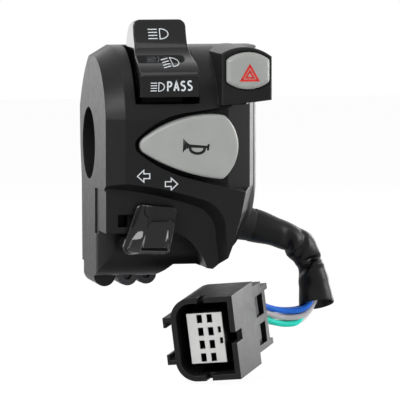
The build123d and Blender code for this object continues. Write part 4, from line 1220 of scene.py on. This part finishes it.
@dataclass
class Controls:
    """The switches with their bases, contacts, springs and detent."""

    keys: tuple[Key, ...] = (
        Key("dimmer_knob", "dimmer_rocker", Look.KNOB, "knob_gloss"),
        Key("turn_knob", "turn_lever", Look.KNOB, "knob_gloss",
            voxel=0.16, rounds=9, share=0.5,
            dish=Dish(((6.5, -30.7), (18.4, -31.0), (20.7, -18.9), (10.9, -18.0)),
                      depth=0.8, rim=0.3, fade=0.7, flank=2.9, flank_depth=3.4)),
        Key("hazard_button", "hazard", Look.BUTTON, "button_grey"),
        Key("horn_button", "horn", Look.BUTTON, "button_grey", rounds=14),
    )
    bases: tuple[str, ...] = (
        "dimmer_base", "dimmer_slider", "hazard_base", "horn_base", "turn_base", "turn_carriage",
    )
    contacts: tuple[str, ...] = (
        "dimmer_contacts", "dimmer_wiper", "hazard_contacts", "horn_contact", "turn_contacts", "turn_wiper",
    )
    coils: tuple[Coil, ...] = (
        Coil("hazard_spring", "case", "hazard_press", -26.5, 10.6, 2.5),
        Coil("horn_spring", "case", "horn_press", -20.0, 12.8, 2.5),
        Coil("cancel_spring", "turn_slider", "turn_cancel", -20.6, 3.4, 1.5),
        Coil("dimmer_spring", "case", "dimmer_slide", -10.6, 2.1, 0.8),
    )
    springs: tuple[str, ...] = ("turn_ball_spring", "turn_ball")

    def build(self, dresser: Dresser) -> None:
        """Builds the keys and coils and dresses every switch.

        Args:
            dresser: gives the finishes.
        """
        for piece in (*self.keys, *self.coils):
            piece.build(dresser)
        dresser.dress_nodes(Look.NYLON, *self.bases)
        dresser.dress_nodes(Look.BRASS, *self.contacts)
        dresser.dress_nodes(Look.SPRING, *self.springs)
        dresser.dress_nodes(Look.STEEL, "dimmer_pin")


@dataclass
class Plug:
    """The connector at the end of the harness."""

    def build(self, dresser: Dresser) -> None:
        """Dresses the shroud, the insert, the seal and the terminals.

        Args:
            dresser: gives the finishes.
        """
        dresser.dress_nodes(Look.PLUG, "connector_shroud")
        dresser.dress_nodes(Look.PLUG_CORE, "connector_insert")
        dresser.dress_nodes(Look.SEAL, "connector_seal")
        dresser.dress_nodes(Look.BRASS, "connector_terminals")


# Studio


@dataclass(frozen=True)
class Softbox:
    """A square area lamp that looks at the object, in millimetres and watts."""

    name: str
    place: Point
    size: float
    power: float


@dataclass
class Studio:
    """The pale floor, the soft lights and the camera, in millimetres and degrees."""

    floor_drop: float = 1.0
    floor_size: float = 3000.0
    azimuth: float = -11.2
    elevation: float = 4.5
    distance: float = 1400.0
    aim: Point = (8.4, -8.0, -17.6)
    view_width: float = 123.5
    sky: float = 0.22
    floor_tone: Colour = (0.82, 0.82, 0.82)
    floor_glow: float = 1.06
    floor_share_seen: float = 0.9
    sensor_width: float = 36.0
    view_depth: float = 20000.0
    lights: tuple[Softbox, ...] = (
        Softbox("light_left", (-520.0, -120.0, 120.0), 260.0, 0.4),
        Softbox("light_top", (-60.0, -160.0, 560.0), 320.0, 0.4),
        Softbox("light_right", (480.0, -120.0, 80.0), 260.0, 1.4),
        Softbox("light_high_left", (-480.0, -480.0, 420.0), 300.0, 3.4),
        Softbox("light_back_left", (-330.0, 640.0, 20.0), 520.0, 0.7),
        Softbox("light_back_right", (560.0, 420.0, 60.0), 420.0, 3.6),
    )

    def build_floor(self) -> None:
        """Lays the floor under the lowest point: white to the camera, with a soft shadow."""
        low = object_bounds()[0][2] - self.floor_drop * MM
        half = self.floor_size / 2 * MM
        sheet = bmesh.new()
        corners = [(-half, -half, low), (half, -half, low), (half, half, low), (-half, half, low)]
        sheet.faces.new([sheet.verts.new(corner) for corner in corners])
        mesh = bpy.data.meshes.new("floor")
        sheet.to_mesh(mesh)
        sheet.free()
        stand("floor", mesh)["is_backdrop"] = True
        weave = Weave("floor_white")
        seen = weave.add("ShaderNodeLightPath", output="Is Camera Ray")
        matt = weave.add("ShaderNodeBsdfDiffuse", {}, {"Color": self.floor_tone})
        bright = weave.add("ShaderNodeEmission", {}, {"Color": WHITE, "Strength": self.floor_glow})
        mixed = {0: seen * self.floor_share_seen, 1: matt, 2: bright}
        mesh.materials.append(weave.end(weave.add("ShaderNodeMixShader", {}, mixed)))
        log.info("floor: %s", weave.owner.name)

    def build_lights(self) -> None:
        """Hangs the softboxes."""
        for light in self.lights:
            lamp = bpy.data.lights.new(light.name, "AREA")
            lamp.shape = "SQUARE"
            lamp.size = light.size * MM
            lamp.energy = light.power
            thing = stand(light.name, lamp)
            thing.location = in_metres(light.place)
            way = in_metres(self.aim) - thing.location
            thing.rotation_euler = way.to_track_quat("-Z", "Y").to_euler()
            log.info("%s", light.name)

    def build_world(self) -> None:
        """Sets the world: white where it is seen or mirrored, and pale as a light."""
        weave = Weave("studio", world=True)
        rays = ("Is Camera Ray", "Is Glossy Ray", "Is Transmission Ray")
        camera, glossy, clear = (weave.add("ShaderNodeLightPath", output=ray) for ray in rays)
        seen = (camera + glossy + clear).smaller(1.0)
        soft = weave.add("ShaderNodeBackground", {}, {"Color": WHITE, "Strength": self.sky})
        white = weave.add("ShaderNodeBackground", {}, {"Color": WHITE})
        blend = weave.add("ShaderNodeMixShader", {}, {0: seen, 1: soft, 2: white})
        bpy.context.scene.world = weave.end(blend)

    def build_camera(self) -> None:
        """Sets the long lens at the photograph's angle."""
        turn, tilt = math.radians(self.azimuth), math.radians(self.elevation)
        level = math.cos(tilt)
        back = Vector((math.sin(turn) * level, -math.cos(turn) * level, math.sin(tilt)))
        lens = bpy.data.cameras.new("photo_camera")
        lens.sensor_width = self.sensor_width
        lens.lens = self.sensor_width * self.distance / self.view_width
        lens.clip_end = self.view_depth * MM
        camera = stand("photo_camera", lens)
        camera.location = in_metres(self.aim) + back * self.distance * MM
        camera.rotation_euler = back.to_track_quat("Z", "Y").to_euler()
        bpy.context.scene.camera = camera

    def build(self) -> None:
        """Sets the stage."""
        self.build_camera()
        self.build_floor()
        self.build_lights()
        self.build_world()
        bpy.context.scene.view_settings.view_transform = "Standard"


def main() -> None:
    """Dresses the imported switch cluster, adds its prints and harness, and sets the stage."""
    logging.basicConfig(level=logging.INFO, format="%(name)s %(message)s")
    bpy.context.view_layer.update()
    dresser = Dresser()
    Studio().build()
    Loom().build(dresser)
    Sleeve().build(dresser)
    Case().build(dresser)
    Controls().build(dresser)
    Plug().build(dresser)
    Prints().build(dresser)
    bpy.context.view_layer.update()


if __name__ == "__main__":
    main()
